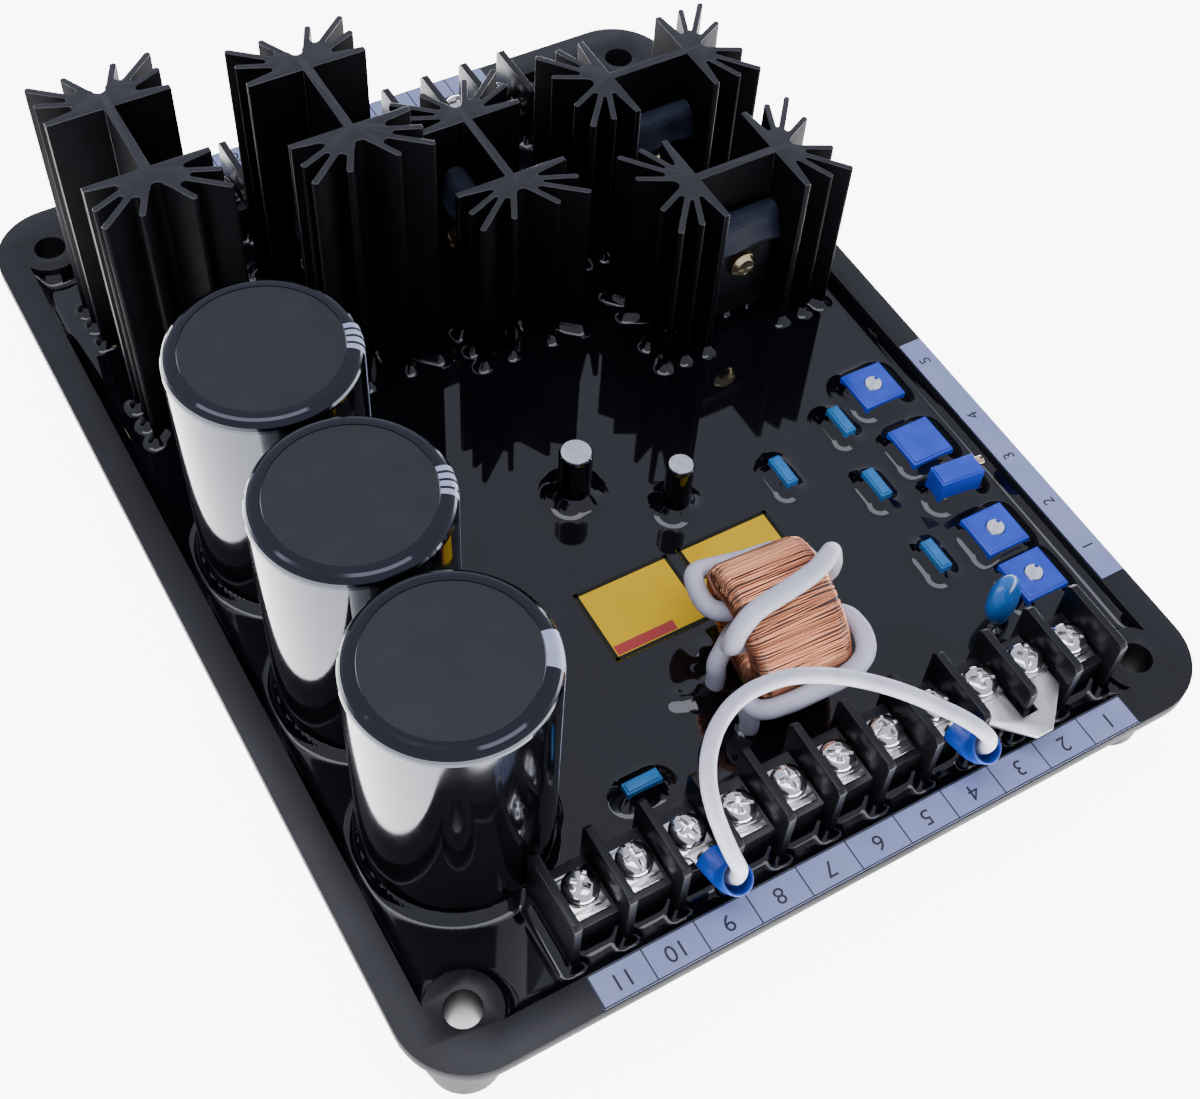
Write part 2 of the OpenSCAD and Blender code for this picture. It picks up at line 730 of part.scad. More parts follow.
// End of the elbow, out from the screw and up
skirt_u = barrel_end + elbow_r * sin(elbow_turn);
skirt_w = barrel_d / 2 + elbow_r * (1 - cos(elbow_turn));

// A tube of vinyl: straight along the barrel, round an elbow, then flared to let the wire in.
// Each stop along it holds its place, its outside diameter and its bore.
SLEEVE_STOPS = let (w = barrel_d / 2, steps = 5) concat(
    [[[barrel_start + seat_gap, 0, w], crimp_d, barrel_d + fit],
     [[barrel_end - 0.1, 0, w], crimp_d, barrel_d + fit]],
    [for (i = [0 : steps]) let (a = elbow_turn * i / steps, d = crimp_d + (flare_d - crimp_d) * 0.7 * i / steps)
        [[barrel_end + elbow_r * sin(a), 0, w + elbow_r * (1 - cos(a))], d, d - 2 * sleeve_wall]],
    [[[skirt_u + flare_l * cos(elbow_turn), 0, skirt_w + flare_l * sin(elbow_turn)],
      flare_d, flare_d - 2 * sleeve_wall]]);

module crimp_sleeve(k) {
    color("#1746b4") at_lug(k) tube(SLEEVE_STOPS);
}

// Route of the jumper. From each barrel's end it bends up inside the sleeve, and between the two ends its
// points are along from the first end as a share of the span, then to the back and up from it.
jumper_bend_r = 5.6;
jumper_first_rise = 32;
jumper_start = barrel_end + fit + jumper_d / 2 * sin(jumper_first_rise + 7);
function lug_point(k, u, w) = [
    left(front_strip_left) + (jumper_screws[k] - 0.5) * front_pitch + u * sin(lug_turn),
    front(screw_row_y) - u * cos(lug_turn), lug_z + w];
function jumper_end(k) = [for (i = [0 : 5]) let (a = jumper_first_rise + (90 - jumper_first_rise) * i / 5)
    lug_point(k, jumper_start + jumper_bend_r * (sin(a) - sin(jumper_first_rise)),
        barrel_d / 2 + jumper_bend_r * (cos(jumper_first_rise) - cos(a)))];
JUMPER = [
    [-0.01, -0.3, 2.8], [-0.035, 0.8, 7.1], [-0.05, 3.4, 11.1], [-0.055, 6.3, 14.9], [-0.04, 9.6, 18.4],
    [0.007, 12.9, 21], [0.084, 15.7, 22], [0.174, 17.4, 21.8], [0.268, 18, 20.9], [0.362, 17.9, 19.6],
    [0.452, 16.9, 18.1], [0.538, 15.4, 16.5], [0.62, 13.6, 14.6], [0.696, 11.4, 12.8], [0.768, 9.1, 10.7],
    [0.836, 6.6, 8.5], [0.904, 3.6, 6.5], [0.962, 0.8, 3.9]];
JUMPER_ROUTE = let (a = jumper_end(0), b = jumper_end(1), n = len(a) - 1,
        span = front_pitch * (jumper_screws[1] - jumper_screws[0]))
    concat(a, [for (q = JUMPER) a[n] + [q.x * span, q.y, q.z]], [for (i = [0 : n]) b[n - i]]);

// Direction of a route at one of its points
function heading(p, i) = unit(p[min(i + 1, len(p) - 1)] - p[max(i - 1, 0)]);

// Ring of points round a route, square to it, carried along without twist
function side_of(dir, last) = unit(last - dir * (last * dir));
function first_side(dir) = side_of(dir, abs(dir.x) > 0.9 ? [0, 1, 0] : [1, 0, 0]);
function carried_all(p) = [for (i = 0, s = first_side(heading(p, 0)); i < len(p);
    i = i + 1, s = i < len(p) ? side_of(heading(p, i), s) : s) s];

// Points of a ring of each diameter round each point of a route
function rings(p, d, sides) = let (frames = carried_all(p))
    [for (i = [0 : len(p) - 1]) let (a = frames[i], b = cross(heading(p, i), a))
        for (k = [0 : sides - 1]) let (t = 360 * k / sides) p[i] + d[i] / 2 * (a * cos(t) + b * sin(t))];

// Faces between one ring and the next, from a first point on
function skin(n, sides, first = 0) =
    [for (i = [0 : n - 2]) for (k = [0 : sides - 1]) let (l = (k + 1) % sides, q = first + i * sides)
        [q + k, q + sides + k, q + sides + l, q + l]];

// A round wire along a list of points
module wire(p, d, sides = 8) {
    n = len(p);
    ends = [[for (k = [0 : sides - 1]) k], [for (k = [0 : sides - 1]) n * sides - 1 - k]];
    polyhedron(rings(p, [for (q = p) d], sides), concat(skin(n, sides), ends));
}

// A hollow tube along a list of stops
module tube(stops, sides = 24) {
    n = len(stops);
    p = [for (s = stops) s[0]];
    inside = n * sides;
    mouth = (n - 1) * sides;
    bore = [for (f = skin(n, sides, inside)) [f[3], f[2], f[1], f[0]]];
    ends = [for (k = [0 : sides - 1]) let (l = (k + 1) % sides) each [
        [k, l, inside + l, inside + k],
        [mouth + l, mouth + k, inside + mouth + k, inside + mouth + l]]];
    polyhedron(concat(rings(p, [for (s = stops) s[1]], sides), rings(p, [for (s = stops) s[2]], sides)),
        concat(skin(n, sides), bore, ends));
}

module jumper_wire() {
    color("#e8e8ec") wire(JUMPER_ROUTE, jumper_d);
}

// Current transformer: a ring core wound with fine wire, standing on edge on the potting

ring_mid_r = (ring_d + ring_hole_d) / 4;
ring_half = (ring_d - ring_hole_d) / 4;
// Height of the ring's middle above its lowest point
ring_low = (ring_d / 2 - ring_r) * cos(ring_lean) + (ring_w / 2 - ring_r) * sin(ring_lean) + ring_r;

module at_ring() {
    translate([right(ring_x), front(ring_y), potting_top + fit + ring_low])
        rotate([0, -ring_lean, ring_turn]) children();
}

// Section of a ring: outward from its axis, and along it
module ring_section(half, w, r) {
    translate([ring_mid_r, 0]) round_rect(2 * half, w, r);
}

module transformer_core() {
    color("#3a3d42") at_ring() rotate([0, 90, 0]) rotate_extrude()
        translate([ring_mid_r, 0]) square([2 * (ring_half - winding_t), ring_w - 2 * winding_t], center = true);
}

module transformer_winding() {
    color("#b8703f") at_ring() rotate([0, 90, 0]) rotate_extrude() difference() {
        ring_section(ring_half, ring_w, ring_r);
        translate([ring_mid_r, 0]) square([2 * (ring_half - winding_t + seat_gap),
            ring_w - 2 * winding_t + 2 * seat_gap], center = true);
    }
}

// The primary wire goes through the hole and back round the outside, further round the ring at
// each turn. Points are along the ring's axis, to the back, and up. Each pair below is a count of
// turns and the angle round the ring there: through the hole, then outside it, and so on.
TURN_ANGLES = [[0.25, -30], [0.75, -8], [1.25, 52], [1.75, 103], [2.25, 145], [2.75, 185], [3, 200]];
turn_points = 18;
loop_out = ring_half + primary_d / 2 + 0.35;
loop_side = ring_w / 2 + primary_d / 2 + 0.35;
loop_power = 0.56;

function squared(v) = sign(v) * pow(abs(v), loop_power);
function primary_point(t) =
    let (a = 270 - 360 * t, r = ring_mid_r + loop_out * squared(cos(a)), b = lookup(t, TURN_ANGLES))
    [loop_side * squared(sin(a)), r * cos(b), r * sin(b)];
// A place given upright, seen in the leaning ring's frame
function stood(p) = [
    p.x * cos(ring_lean) + p.z * sin(ring_lean), p.y, p.z * cos(ring_lean) - p.x * sin(ring_lean)];

module primary_wire() {
    hole_pass = primary_point(0.25);
    last = primary_point(primary_turns - 0.02);
    lead_in = [
        stood([-loop_side - 0.2, -1.2, 0.1 - ring_low]), stood([-loop_side - 0.2, -1.2, 3.5 - ring_low]),
        [-loop_side - 1.2, -0.6, 7 - ring_d / 2], [-loop_side + 0.6, 0.8, hole_pass.z - 3],
        [-loop_side + 4, 2.6, hole_pass.z - 0.9]];
    lead_out = [
        [last.x - 0.1, last.y - 0.5, last.z - 2.6], stood([0.8 - loop_side * 0.92, last.y - 0.9, 3 - ring_low]),
        stood([1 - loop_side * 0.92, last.y - 0.9, 0.1 - ring_low])];
    turns = [for (i = [0 : turn_points * (primary_turns - 0.25)]) primary_point(0.25 + i / turn_points)];
    color("#e8e8ec") at_ring() wire(concat(lead_in, turns, lead_out), primary_d);
}

// Small components

control_bottom = potting_top + 13.2 - control_h;
control_sleeve_t = 0.3;
control_r = 0.8;
control_lip = 0.2;

module at_control(i) {
    translate([CONTROL_CAPS[i].x, CONTROL_CAPS[i].y, control_bottom]) children();
}

module control_capacitor_can(i) {
    color("#c9cacc") at_control(i) rotate_extrude()
        polygon(can_points(control_d[i] / 2 - control_sleeve_t - seat_gap,
            control_h - control_sleeve_t - seat_gap, control_r - control_sleeve_t));
}

module control_capacitor_sleeve(i) {
    r = control_d[i] / 2;
    centre = [r - control_r, control_h - control_r];
    color("#121316") at_control(i) rotate_extrude() polygon(concat(
        [[r - control_sleeve_t, 0], [r, 0]], quarter(centre, control_r, 0, 90, 4),
        [[r - control_r - control_lip, control_h], [r - control_r - control_lip, control_h - control_sleeve_t]],
        quarter(centre, control_r - control_sleeve_t, 90, 0, 4)));
}

module at_film(f, dz) {
    translate([f.x, f.y, potting_top + film_rise - film_h + dz]) rotate([0, 0, f[2]]) children();
}

module film_capacitors() {
    edge = 0.35;
    color("#2f7fb4") for (f = FILM_CAPS) at_film(f, 0) {
        block(film_l, film_t, film_h - edge);
        translate([0, 0, film_h - edge]) block(film_l - 2 * edge, film_t - 2 * edge, edge);
    }
}

lead_d = 0.8;
lead_depth = 3;
disc_lead_pitch = 5;

module at_disc_lead(side) {
    translate([DISC_CAP.x, DISC_CAP.y, potting_top - lead_depth]) rotate([0, 0, disc_turn])
        translate([side * disc_lead_pitch / 2, 0, 0]) children();
}

// A dipped disc on two short leads
module disc_capacitor() {
    dome_r = (pow(disc_d / 2, 2) + pow(disc_t / 2, 2)) / disc_t;
    rise = 1.2;
    color("#1d6fae") {
        translate([DISC_CAP.x, DISC_CAP.y, potting_top + rise]) rotate([-disc_lean, 0, disc_turn])
            translate([0, 0, disc_d / 2]) rotate([90, 0, 0]) intersection() {
                translate([0, 0, disc_t / 2 - dome_r]) sphere(dome_r, $fn = 64);
                translate([0, 0, dome_r - disc_t / 2]) sphere(dome_r, $fn = 64);
            }
        for (side = [-1, 1]) at_disc_lead(side) cylinder(d = lead_d, h = lead_depth + rise + 1.6);
    }
}

dipped_d = 4.6;
dipped_depth = 2;
dipped_h = 8;

module dipped_capacitor() {
    color("#b5761d") translate([DIPPED_CAP.x, DIPPED_CAP.y, potting_top - dipped_depth]) {
        cylinder(d = dipped_d, h = dipped_depth + dipped_h - dipped_d / 2);
        translate([0, 0, dipped_depth + dipped_h - dipped_d / 2]) sphere(d = dipped_d);
    }
}

// Trimmers

module at_trimmer(y, dz) {
    translate([right(trim_x), front(y), potting_top + trim_rise - trim_h + dz]) children();
}

module trimmer_body() {
    edge = 0.4;
    block(trim_s, trim_s, trim_h - edge);
    translate([0, 0, trim_h - edge]) block(trim_s - 2 * edge, trim_s - 2 * edge, edge);
}

module trimmer_housing(i) {
    color("#2454c8") at_trimmer(TRIM_Y[i], 0) difference() {
        trimmer_body();
        translate([0, 0, trim_h - dial_depth]) cylinder(d = dial_d + 2 * dial_gap, h = dial_depth + 1);
    }
}

module covered_trimmer() {
    color("#2454c8") at_trimmer(COVERED_TRIM_Y, 0) trimmer_body();
}

// A slotted dial that turns in its recess
module trimmer_dial(i) {
    stand = 0.3;
    slot_w = 0.7;
    color("#e6e6e6") at_trimmer(TRIM_Y[i], trim_h - dial_depth + dial_gap) difference() {
        cylinder(d = dial_d, h = dial_depth - dial_gap + stand);
        translate([0, 0, dial_depth - dial_gap + stand - 0.6]) rotate([0, 0, 35])
            block(dial_d + 1, slot_w, 1);
    }
}

multi_rise = 7.4;
adjuster_z = multi_h - 1.5;
adjuster_y = 0.9;
adjuster_depth = 2;
adjuster_out = 1.5;

module at_multi(dz) {
    translate([right(trim_x) - 0.6, front(MULTI_Y), potting_top + multi_rise - multi_h + dz])
        rotate([0, 0, multi_turn]) children();
}

module multiturn_housing() {
    edge = 0.35;
    color("#1f49b8") at_multi(0) difference() {
        union() {
            block(multi_l, multi_w, multi_h - edge);
            translate([0, 0, multi_h - edge]) block(multi_l - 2 * edge, multi_w - 2 * edge, edge);
        }
        translate([multi_l / 2 - adjuster_depth, adjuster_y, adjuster_z]) rotate([0, 90, 0])
            cylinder(d = adjuster_d + 2 * dial_gap, h = adjuster_depth + 1);
    }
}

// A slotted screw in the end of the multi-turn trimmer
module adjusting_screw() {
    slot_w = 0.5;
    color("#c9a24a") at_multi(0)
        translate([multi_l / 2 - adjuster_depth + dial_gap, adjuster_y, adjuster_z]) rotate([0, 90, 0])
            difference() {
                cylinder(d = adjuster_d, h = adjuster_depth + adjuster_out - dial_gap);
                translate([0, 0, adjuster_depth + adjuster_out - dial_gap - 0.6])
                    block(adjuster_d + 1, slot_w, 1);
            }
}

// Labels on the flange and on the potting

module label(w, d) {
    linear_extrude(label_t) square([w, d], center = true);
}

module front_label() {
    l = front_count * front_pitch;
    w = end_rim - 2 * label_gap;
    color("#aab0cc") translate([left(front_strip_left) + l / 2, front(end_rim / 2), tray_h + seat_gap]) label(l, w);
}

module back_label() {
    l = back_count * back_pitch;
    w = end_rim - 2 * label_gap;
    color("#aab0cc") translate([right(back_strip_right) - l / 2, back(end_rim / 2), tray_h + seat_gap]) label(l, w);
}

module side_label() {
    color("#aab0cc") translate([right(side_rim / 2), front(side_label_y + side_label_l / 2), tray_h + seat_gap])
        label(side_rim - 2 * label_gap, side_label_l);
}

module notice_label(i) {
    color("#d8b53a") translate([NOTICES[i].x, NOTICES[i].y, potting_top + seat_gap])
        label(notice_size.x, notice_size.y);
}

tray();
circuit_board();
potting();
capacitor_can(0);  // capacitor_can_1
capacitor_can(1);  // capacitor_can_2
capacitor_can(2);  // capacitor_can_3
capacitor_sleeve(0);  // capacitor_sleeve_1
capacitor_sleeve(1);  // capacitor_sleeve_2
capacitor_sleeve(2);  // capacitor_sleeve_3
capacitor_disc(0);  // capacitor_disc_1
capacitor_disc(1);  // capacitor_disc_2
capacitor_disc(2);  // capacitor_disc_3
heat_sink(0);  // heat_sink_1
heat_sink(1);  // heat_sink_2
heat_sink(2);  // heat_sink_3
heat_sink(3);  // heat_sink_4
heat_sink(4);  // heat_sink_5
power_devices();
insulating_pads();
device_screws();
front_terminal_block();
front_terminal_plates();
front_clamp_plates();
front_terminal_screws();
back_terminal_block();
back_terminal_plates();
back_clamp_plates();
back_terminal_screws();
shorting_link();
jumper_wire();
jumper_lug(0);  // jumper_lug_left
jumper_lug(1);  // jumper_lug_right
crimp_sleeve(0);  // crimp_sleeve_left
crimp_sleeve(1);  // crimp_sleeve_right
transformer_core();
transformer_winding();
primary_wire();
control_capacitor_can(0);  // control_capacitor_can_1
control_capacitor_can(1);  // control_capacitor_can_2
control_capacitor_sleeve(0);  // control_capacitor_sleeve_1
control_capacitor_sleeve(1);  // control_capacitor_sleeve_2
film_capacitors();
disc_capacitor();
dipped_capacitor();
trimmer_housing(0);  // trimmer_housing_1
trimmer_housing(1);  // trimmer_housing_2
trimmer_housing(2);  // trimmer_housing_3
covered_trimmer();
multiturn_housing();
trimmer_dial(0);  // trimmer_dial_1
trimmer_dial(1);  // trimmer_dial_2
trimmer_dial(2);  // trimmer_dial_3
adjusting_screw();
front_label();
back_label();
side_label();
notice_label(0);  // notice_label_left
notice_label(1);  // notice_label_right
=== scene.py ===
# %% [markdown]
# # Dressing a generator's voltage regulator
#
# The part is a black moulded tray full of cast resin, and a crowd of electrical parts stands in it.
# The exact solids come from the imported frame. This lesson adds what a solid modeller leaves out:
# rounded edges, the resin's creeping surface, wound copper, soft wire, print and finishes.

import json
import math
import random

import bpy
from mathutils import Matrix, Vector, bvhtree, noise


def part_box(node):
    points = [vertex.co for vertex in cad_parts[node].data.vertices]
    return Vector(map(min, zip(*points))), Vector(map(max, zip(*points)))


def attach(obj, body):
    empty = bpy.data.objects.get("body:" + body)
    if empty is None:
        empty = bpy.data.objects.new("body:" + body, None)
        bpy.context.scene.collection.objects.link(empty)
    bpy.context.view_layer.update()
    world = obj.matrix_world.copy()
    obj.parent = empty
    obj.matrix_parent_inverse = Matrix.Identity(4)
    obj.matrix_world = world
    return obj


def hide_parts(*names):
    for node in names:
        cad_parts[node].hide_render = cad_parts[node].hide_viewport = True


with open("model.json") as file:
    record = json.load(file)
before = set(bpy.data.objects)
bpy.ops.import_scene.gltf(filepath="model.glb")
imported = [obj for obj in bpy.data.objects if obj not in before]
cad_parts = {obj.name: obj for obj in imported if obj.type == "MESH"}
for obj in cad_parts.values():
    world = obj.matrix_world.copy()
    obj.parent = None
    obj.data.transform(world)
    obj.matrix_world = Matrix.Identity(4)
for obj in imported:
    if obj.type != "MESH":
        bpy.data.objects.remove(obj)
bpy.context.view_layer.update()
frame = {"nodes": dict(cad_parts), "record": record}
nodes = frame["nodes"]
ROOT = "regulator"
MM = 0.001
bpy.ops.object.select_all(action="DESELECT")
print("frame loaded:", len(nodes), "nodes")

# %% [markdown]
# ## The camera
#
# The photograph looks down on the tray from its front left corner, with the camera turned a little on
# its own axis. A camera is set by four plain facts: where it stands, what it aims at, how far it
# is rolled and how long its lens is. The matrix is then built from the line of sight.

# %% Place the camera
CAMERA_AT = Vector((-111.9, -185.0, 286.5)) * MM
CAMERA_AIM = Vector((-5.65, -27.05, 21.0)) * MM
CAMERA_ROLL = math.radians(4.96)
CAMERA_LENS = 52.39

bpy.ops.object.camera_add(location=CAMERA_AT)
camera = bpy.context.object
camera.name = "camera"
camera.data.lens = CAMERA_LENS
camera.data.sensor_width = 36
camera.data.clip_start = 0.01
turn = (CAMERA_AIM - CAMERA_AT).to_track_quat("-Z", "Y")
camera.rotation_euler = (turn.to_matrix() @ Matrix.Rotation(CAMERA_ROLL, 3, "Z")).to_euler()
bpy.context.scene.camera = camera
print("camera stands", round((CAMERA_AIM - CAMERA_AT).length / MM), "mm from its aim")

# %% [markdown]
# ## Small helpers
#
# Operators work on what is selected, so each step first picks exactly one object.


# %% Helpers for picking and handing over
def pick(*objects):
    """Selects these objects alone, in object mode; the last one is active."""
    if bpy.context.mode != "OBJECT":
        bpy.ops.object.mode_set(mode="OBJECT")
    bpy.ops.object.select_all(action="DESELECT")
    for piece in objects:
        piece.select_set(True)
        bpy.context.view_layer.objects.active = piece


def linked(name, data):
    """A new object for a mesh or a curve, put into the scene."""
    piece = bpy.data.objects.new(name, data)
    bpy.context.collection.objects.link(piece)
    return piece


def as_mesh(piece):
    """Turns a curve or a text into a mesh."""
    pick(piece)
    bpy.ops.object.convert(target="MESH")
    return bpy.context.object


def settle(piece):
    """Moves a piece's place, turn and size into its mesh."""
    pick(piece)
    bpy.ops.object.transform_apply(location=True, rotation=True, scale=True)
    return piece


def press(piece, kind, **settings):
    """Adds a modifier with these settings and applies it."""
    pick(piece)
    modifier = piece.modifiers.new(kind.lower(), kind)
    for key, value in settings.items():
        setattr(modifier, key, value)
    bpy.ops.object.modifier_apply(modifier=modifier.name)
    return piece


def smooth(piece, degrees):
    """Shades a piece smooth, and keeps edges past this angle sharp."""
    pick(piece)
    bpy.ops.object.shade_smooth_by_angle(angle=math.radians(degrees))


def hand_over(piece, name, body=ROOT, stands_for=()):
    piece.name = name
    piece.data.name = name
    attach(piece, body)
    if stands_for:
        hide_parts(*stands_for)
    return piece


def weld(pieces):
    """Joins pieces into the first one."""
    pick(*reversed(pieces))
    bpy.ops.object.join()
    return bpy.context.object


print("helpers ready")

# %% [markdown]
# ## The jumper wire
#
# A white silicone wire runs from one terminal to another in a high loop. It is limp, it is held at both
# ends by crimped lugs, and the photograph shows all of it. A curve with a round bevel is the natural
# way to make a wire, because its centreline stays a real line of known length. The route is the one
# that the solid wire follows: points measured from its first end.

# %% Lay the jumper
WIRE_D = 2.7 * MM
WIRE_FINENESS = 8
STRIP_LEFT = -49.4
SCREW_ROW_Y = -87.4
PITCH = 10.0
JUMPER_SCREWS = (3, 8)
LUG_Z = 26.55
BARREL_R = 1.7
BARREL_END = 8.3
HALF_BARRIER = 0.75
SLEEVE_R = 2.6
LUG_ROOM = 0.25
LUG_OUT = 8.0
LUG_TURN = math.asin((PITCH / 2 - HALF_BARRIER - SLEEVE_R - LUG_ROOM) / LUG_OUT)
BEND_R = 5.6
FIRST_RISE = math.radians(32)
BEND_STEPS = 5
END_TILT = math.radians(7)
END_ROOM = 0.1
WIRE_START = BARREL_END + END_ROOM + WIRE_D / MM / 2 * math.sin(FIRST_RISE + END_TILT)
JUMPER = [
    (-0.01, -0.3, 2.8), (-0.035, 0.8, 7.1), (-0.05, 3.4, 11.1), (-0.055, 6.3, 14.9), (-0.04, 9.6, 18.4),
    (0.007, 12.9, 21), (0.084, 15.7, 22), (0.174, 17.4, 21.8), (0.268, 18, 20.9), (0.362, 17.9, 19.6),
    (0.452, 16.9, 18.1), (0.538, 15.4, 16.5), (0.62, 13.6, 14.6), (0.696, 11.4, 12.8), (0.768, 9.1, 10.7),
    (0.836, 6.6, 8.5), (0.904, 3.6, 6.5), (0.962, 0.8, 3.9)]


def lug_point(end, out, up):
    """A point in the upright plane of one lug, in millimetres: out from its screw and up from its tongue."""
    x = STRIP_LEFT + (JUMPER_SCREWS[end] - 0.5) * PITCH + out * math.sin(LUG_TURN)
    return Vector((x, SCREW_ROW_Y - out * math.cos(LUG_TURN), LUG_Z + up))


def jumper_end(end):
    """The wire's bend inside one sleeve, from the barrel up to the open end."""
    bend = []
    for i in range(BEND_STEPS + 1):
        rise = FIRST_RISE + (math.pi / 2 - FIRST_RISE) * i / BEND_STEPS
        out = WIRE_START + BEND_R * (math.sin(rise) - math.sin(FIRST_RISE))
        bend.append(lug_point(end, out, BARREL_R + BEND_R * (math.cos(FIRST_RISE) - math.cos(rise))))
    return bend


def wire_curve(name, points, diameters, fineness, caps=True):
    """A round curve through points, in metres, on one smooth spline; each knot carries its own radius."""
    curve = bpy.data.curves.new(name, "CURVE")
    curve.dimensions = "3D"
    curve.bevel_depth = 1
    curve.bevel_resolution = 6
    curve.resolution_u = fineness
    curve.use_fill_caps = caps
    spline = curve.splines.new("BEZIER")
    spline.bezier_points.add(len(points) - 1)
    for knot, place, diameter in zip(spline.bezier_points, points, diameters):
        knot.co = place
        knot.radius = diameter / 2
        knot.handle_left_type = "AUTO"
        knot.handle_right_type = "AUTO"
    return linked(name, curve)


left_end = jumper_end(0)
reach = PITCH * (JUMPER_SCREWS[1] - JUMPER_SCREWS[0])
route = left_end + [left_end[-1] + Vector((x * reach, y, z)) for x, y, z in JUMPER]
route += reversed(jumper_end(1))
route = [place * MM for place in route]
jumper = wire_curve("jumper", route, [WIRE_D] * len(route), WIRE_FINENESS)
hand_over(jumper, "jumper", stands_for=["jumper_wire"])

# %% [markdown]
# ## Shared surface effects
#
# Three effects come back in many finishes, so each is a node group that is built once. Moulded grain is
# the fine pitting of plastic. Handling marks are soft patches where a surface is a little smoother or
# rougher. Drawn lines are the long fine scratches of metal that was rolled, brushed or pushed through a die.


# %% Build the shared effects
def noise_group(name, output, **inputs):
    """A shader group round one noise texture, fed with a place and a scale; inputs carry their defaults."""
    group = bpy.data.node_groups.new(name, "ShaderNodeTree")
    group.interface.new_socket("Place", in_out="INPUT", socket_type="NodeSocketVector")
    for label, value in inputs.items():
        socket = group.interface.new_socket(label, in_out="INPUT", socket_type="NodeSocketFloat")
        socket.default_value = value
    group.interface.new_socket(output, in_out="OUTPUT", socket_type="NodeSocketFloat")
    start = group.nodes.new("NodeGroupInput")
    texture = group.nodes.new("ShaderNodeTexNoise")
    group.links.new(start.outputs["Place"], texture.inputs["Vector"])
    group.links.new(start.outputs["Scale"], texture.inputs["Scale"])
    return group, start, texture, group.nodes.new("NodeGroupOutput")


grain, grain_in, grain_noise, grain_out = noise_group("moulded grain", "Height", Scale=2500, Detail=3)
grain_noise.inputs["Roughness"].default_value = 0.6
grain.links.new(grain_in.outputs["Detail"], grain_noise.inputs["Detail"])
grain.links.new(grain_noise.outputs["Fac"], grain_out.inputs["Height"])

marks, marks_in, marks_noise, marks_out = noise_group("handling marks", "Value", Scale=60, Low=0.3, High=0.4)
marks_noise.inputs["Detail"].default_value = 5
marks_range = marks.nodes.new("ShaderNodeMapRange")
marks_range.inputs["From Min"].default_value = 0.35
marks_range.inputs["From Max"].default_value = 0.65
marks.links.new(marks_noise.outputs["Fac"], marks_range.inputs["Value"])
marks.links.new(marks_in.outputs["Low"], marks_range.inputs["To Min"])
marks.links.new(marks_in.outputs["High"], marks_range.inputs["To Max"])
marks.links.new(marks_range.outputs["Result"], marks_out.inputs["Value"])

drawn, _, drawn_noise, drawn_out = noise_group("drawn lines", "Height", Scale=900)
drawn_noise.inputs["Detail"].default_value = 2
drawn.links.new(drawn_noise.outputs["Fac"], drawn_out.inputs["Height"])
print("shared effects:", [group.name for group in bpy.data.node_groups])

# %% [markdown]
# ## A maker of finishes
#
# Every finish starts from the same plan: a colour that wanders between two near tones, a roughness
# that wanders between two values, and a bump from grain or from drawn lines. What is the same all over
# a surface, such as metal, coat or sheen, is set straight on the shader.


# %% Define the maker of finishes
def place_group(material, group, place, **values):
    """Puts a shared effect into a material and feeds it the place on the object."""
    node = material.node_tree.nodes.new("ShaderNodeGroup")
    node.node_tree = group
    material.node_tree.links.new(place, node.inputs["Place"])
    for label, value in values.items():
        node.inputs[label].default_value = value
    return node.outputs[0]


def finish(name, dark, light, rough=(0.35, 0.45), patch=60, grain_scale=2500, bump=0.15, lift=0.00002,
           lines=None, tone_from=None, **shader):
    """A finish in two near tones, with patches, and a bump from grain or from lines along a direction."""
    material = bpy.data.materials.new(name)
    material.use_nodes = True
    tree = material.node_tree
    surface = tree.nodes["Principled BSDF"]
    place = tree.nodes.new("ShaderNodeTexCoord").outputs["Object"]
    if tone_from:
        reader = tree.nodes.new("ShaderNodeAttribute")
        reader.attribute_name = tone_from
        tone = reader.outputs["Fac"]
    else:
        tone = place_group(material, marks, place, Scale=patch * 1.7, Low=0.0, High=1.0)
    mix = tree.nodes.new("ShaderNodeMix")
    mix.data_type = "RGBA"
    mix.inputs["A"].default_value = (*dark, 1)
    mix.inputs["B"].default_value = (*light, 1)
    tree.links.new(tone, mix.inputs["Factor"])
    tree.links.new(mix.outputs["Result"], surface.inputs["Base Color"])
    shine = place_group(material, marks, place, Scale=patch, Low=rough[0], High=rough[1])
    tree.links.new(shine, surface.inputs["Roughness"])
    if lines:
        stretch = tree.nodes.new("ShaderNodeMapping")
        stretch.inputs["Scale"].default_value = lines
        tree.links.new(place, stretch.inputs["Vector"])
        height = place_group(material, drawn, stretch.outputs["Vector"], Scale=grain_scale)
    else:
        height = place_group(material, grain, place, Scale=grain_scale)
    relief = tree.nodes.new("ShaderNodeBump")
    relief.inputs["Strength"].default_value = bump
    relief.inputs["Distance"].default_value = lift
    tree.links.new(height, relief.inputs["Height"])
    tree.links.new(relief.outputs["Normal"], surface.inputs["Normal"])
    for label, value in shader.items():
        label = "Specular IOR Level" if label == "gloss" else label.replace("_", " ").title()
        surface.inputs[label].default_value = value
    return material


def dress(piece, material):
    """Gives a piece one material."""
    piece.data.materials.clear()
    piece.data.materials.append(material)
    return piece


print("maker of finishes ready")

# %% [markdown]
# ## The finishes of this object
#
# Most of it is black, and the blacks differ: satin tray, mirror-like resin, glossy shrunk sleeve, fine
# grained capacitor top, anodised aluminium and moulded terminal strip. Between them sit bright nickel,
# tinned brass, copper, white silicone and several blues.

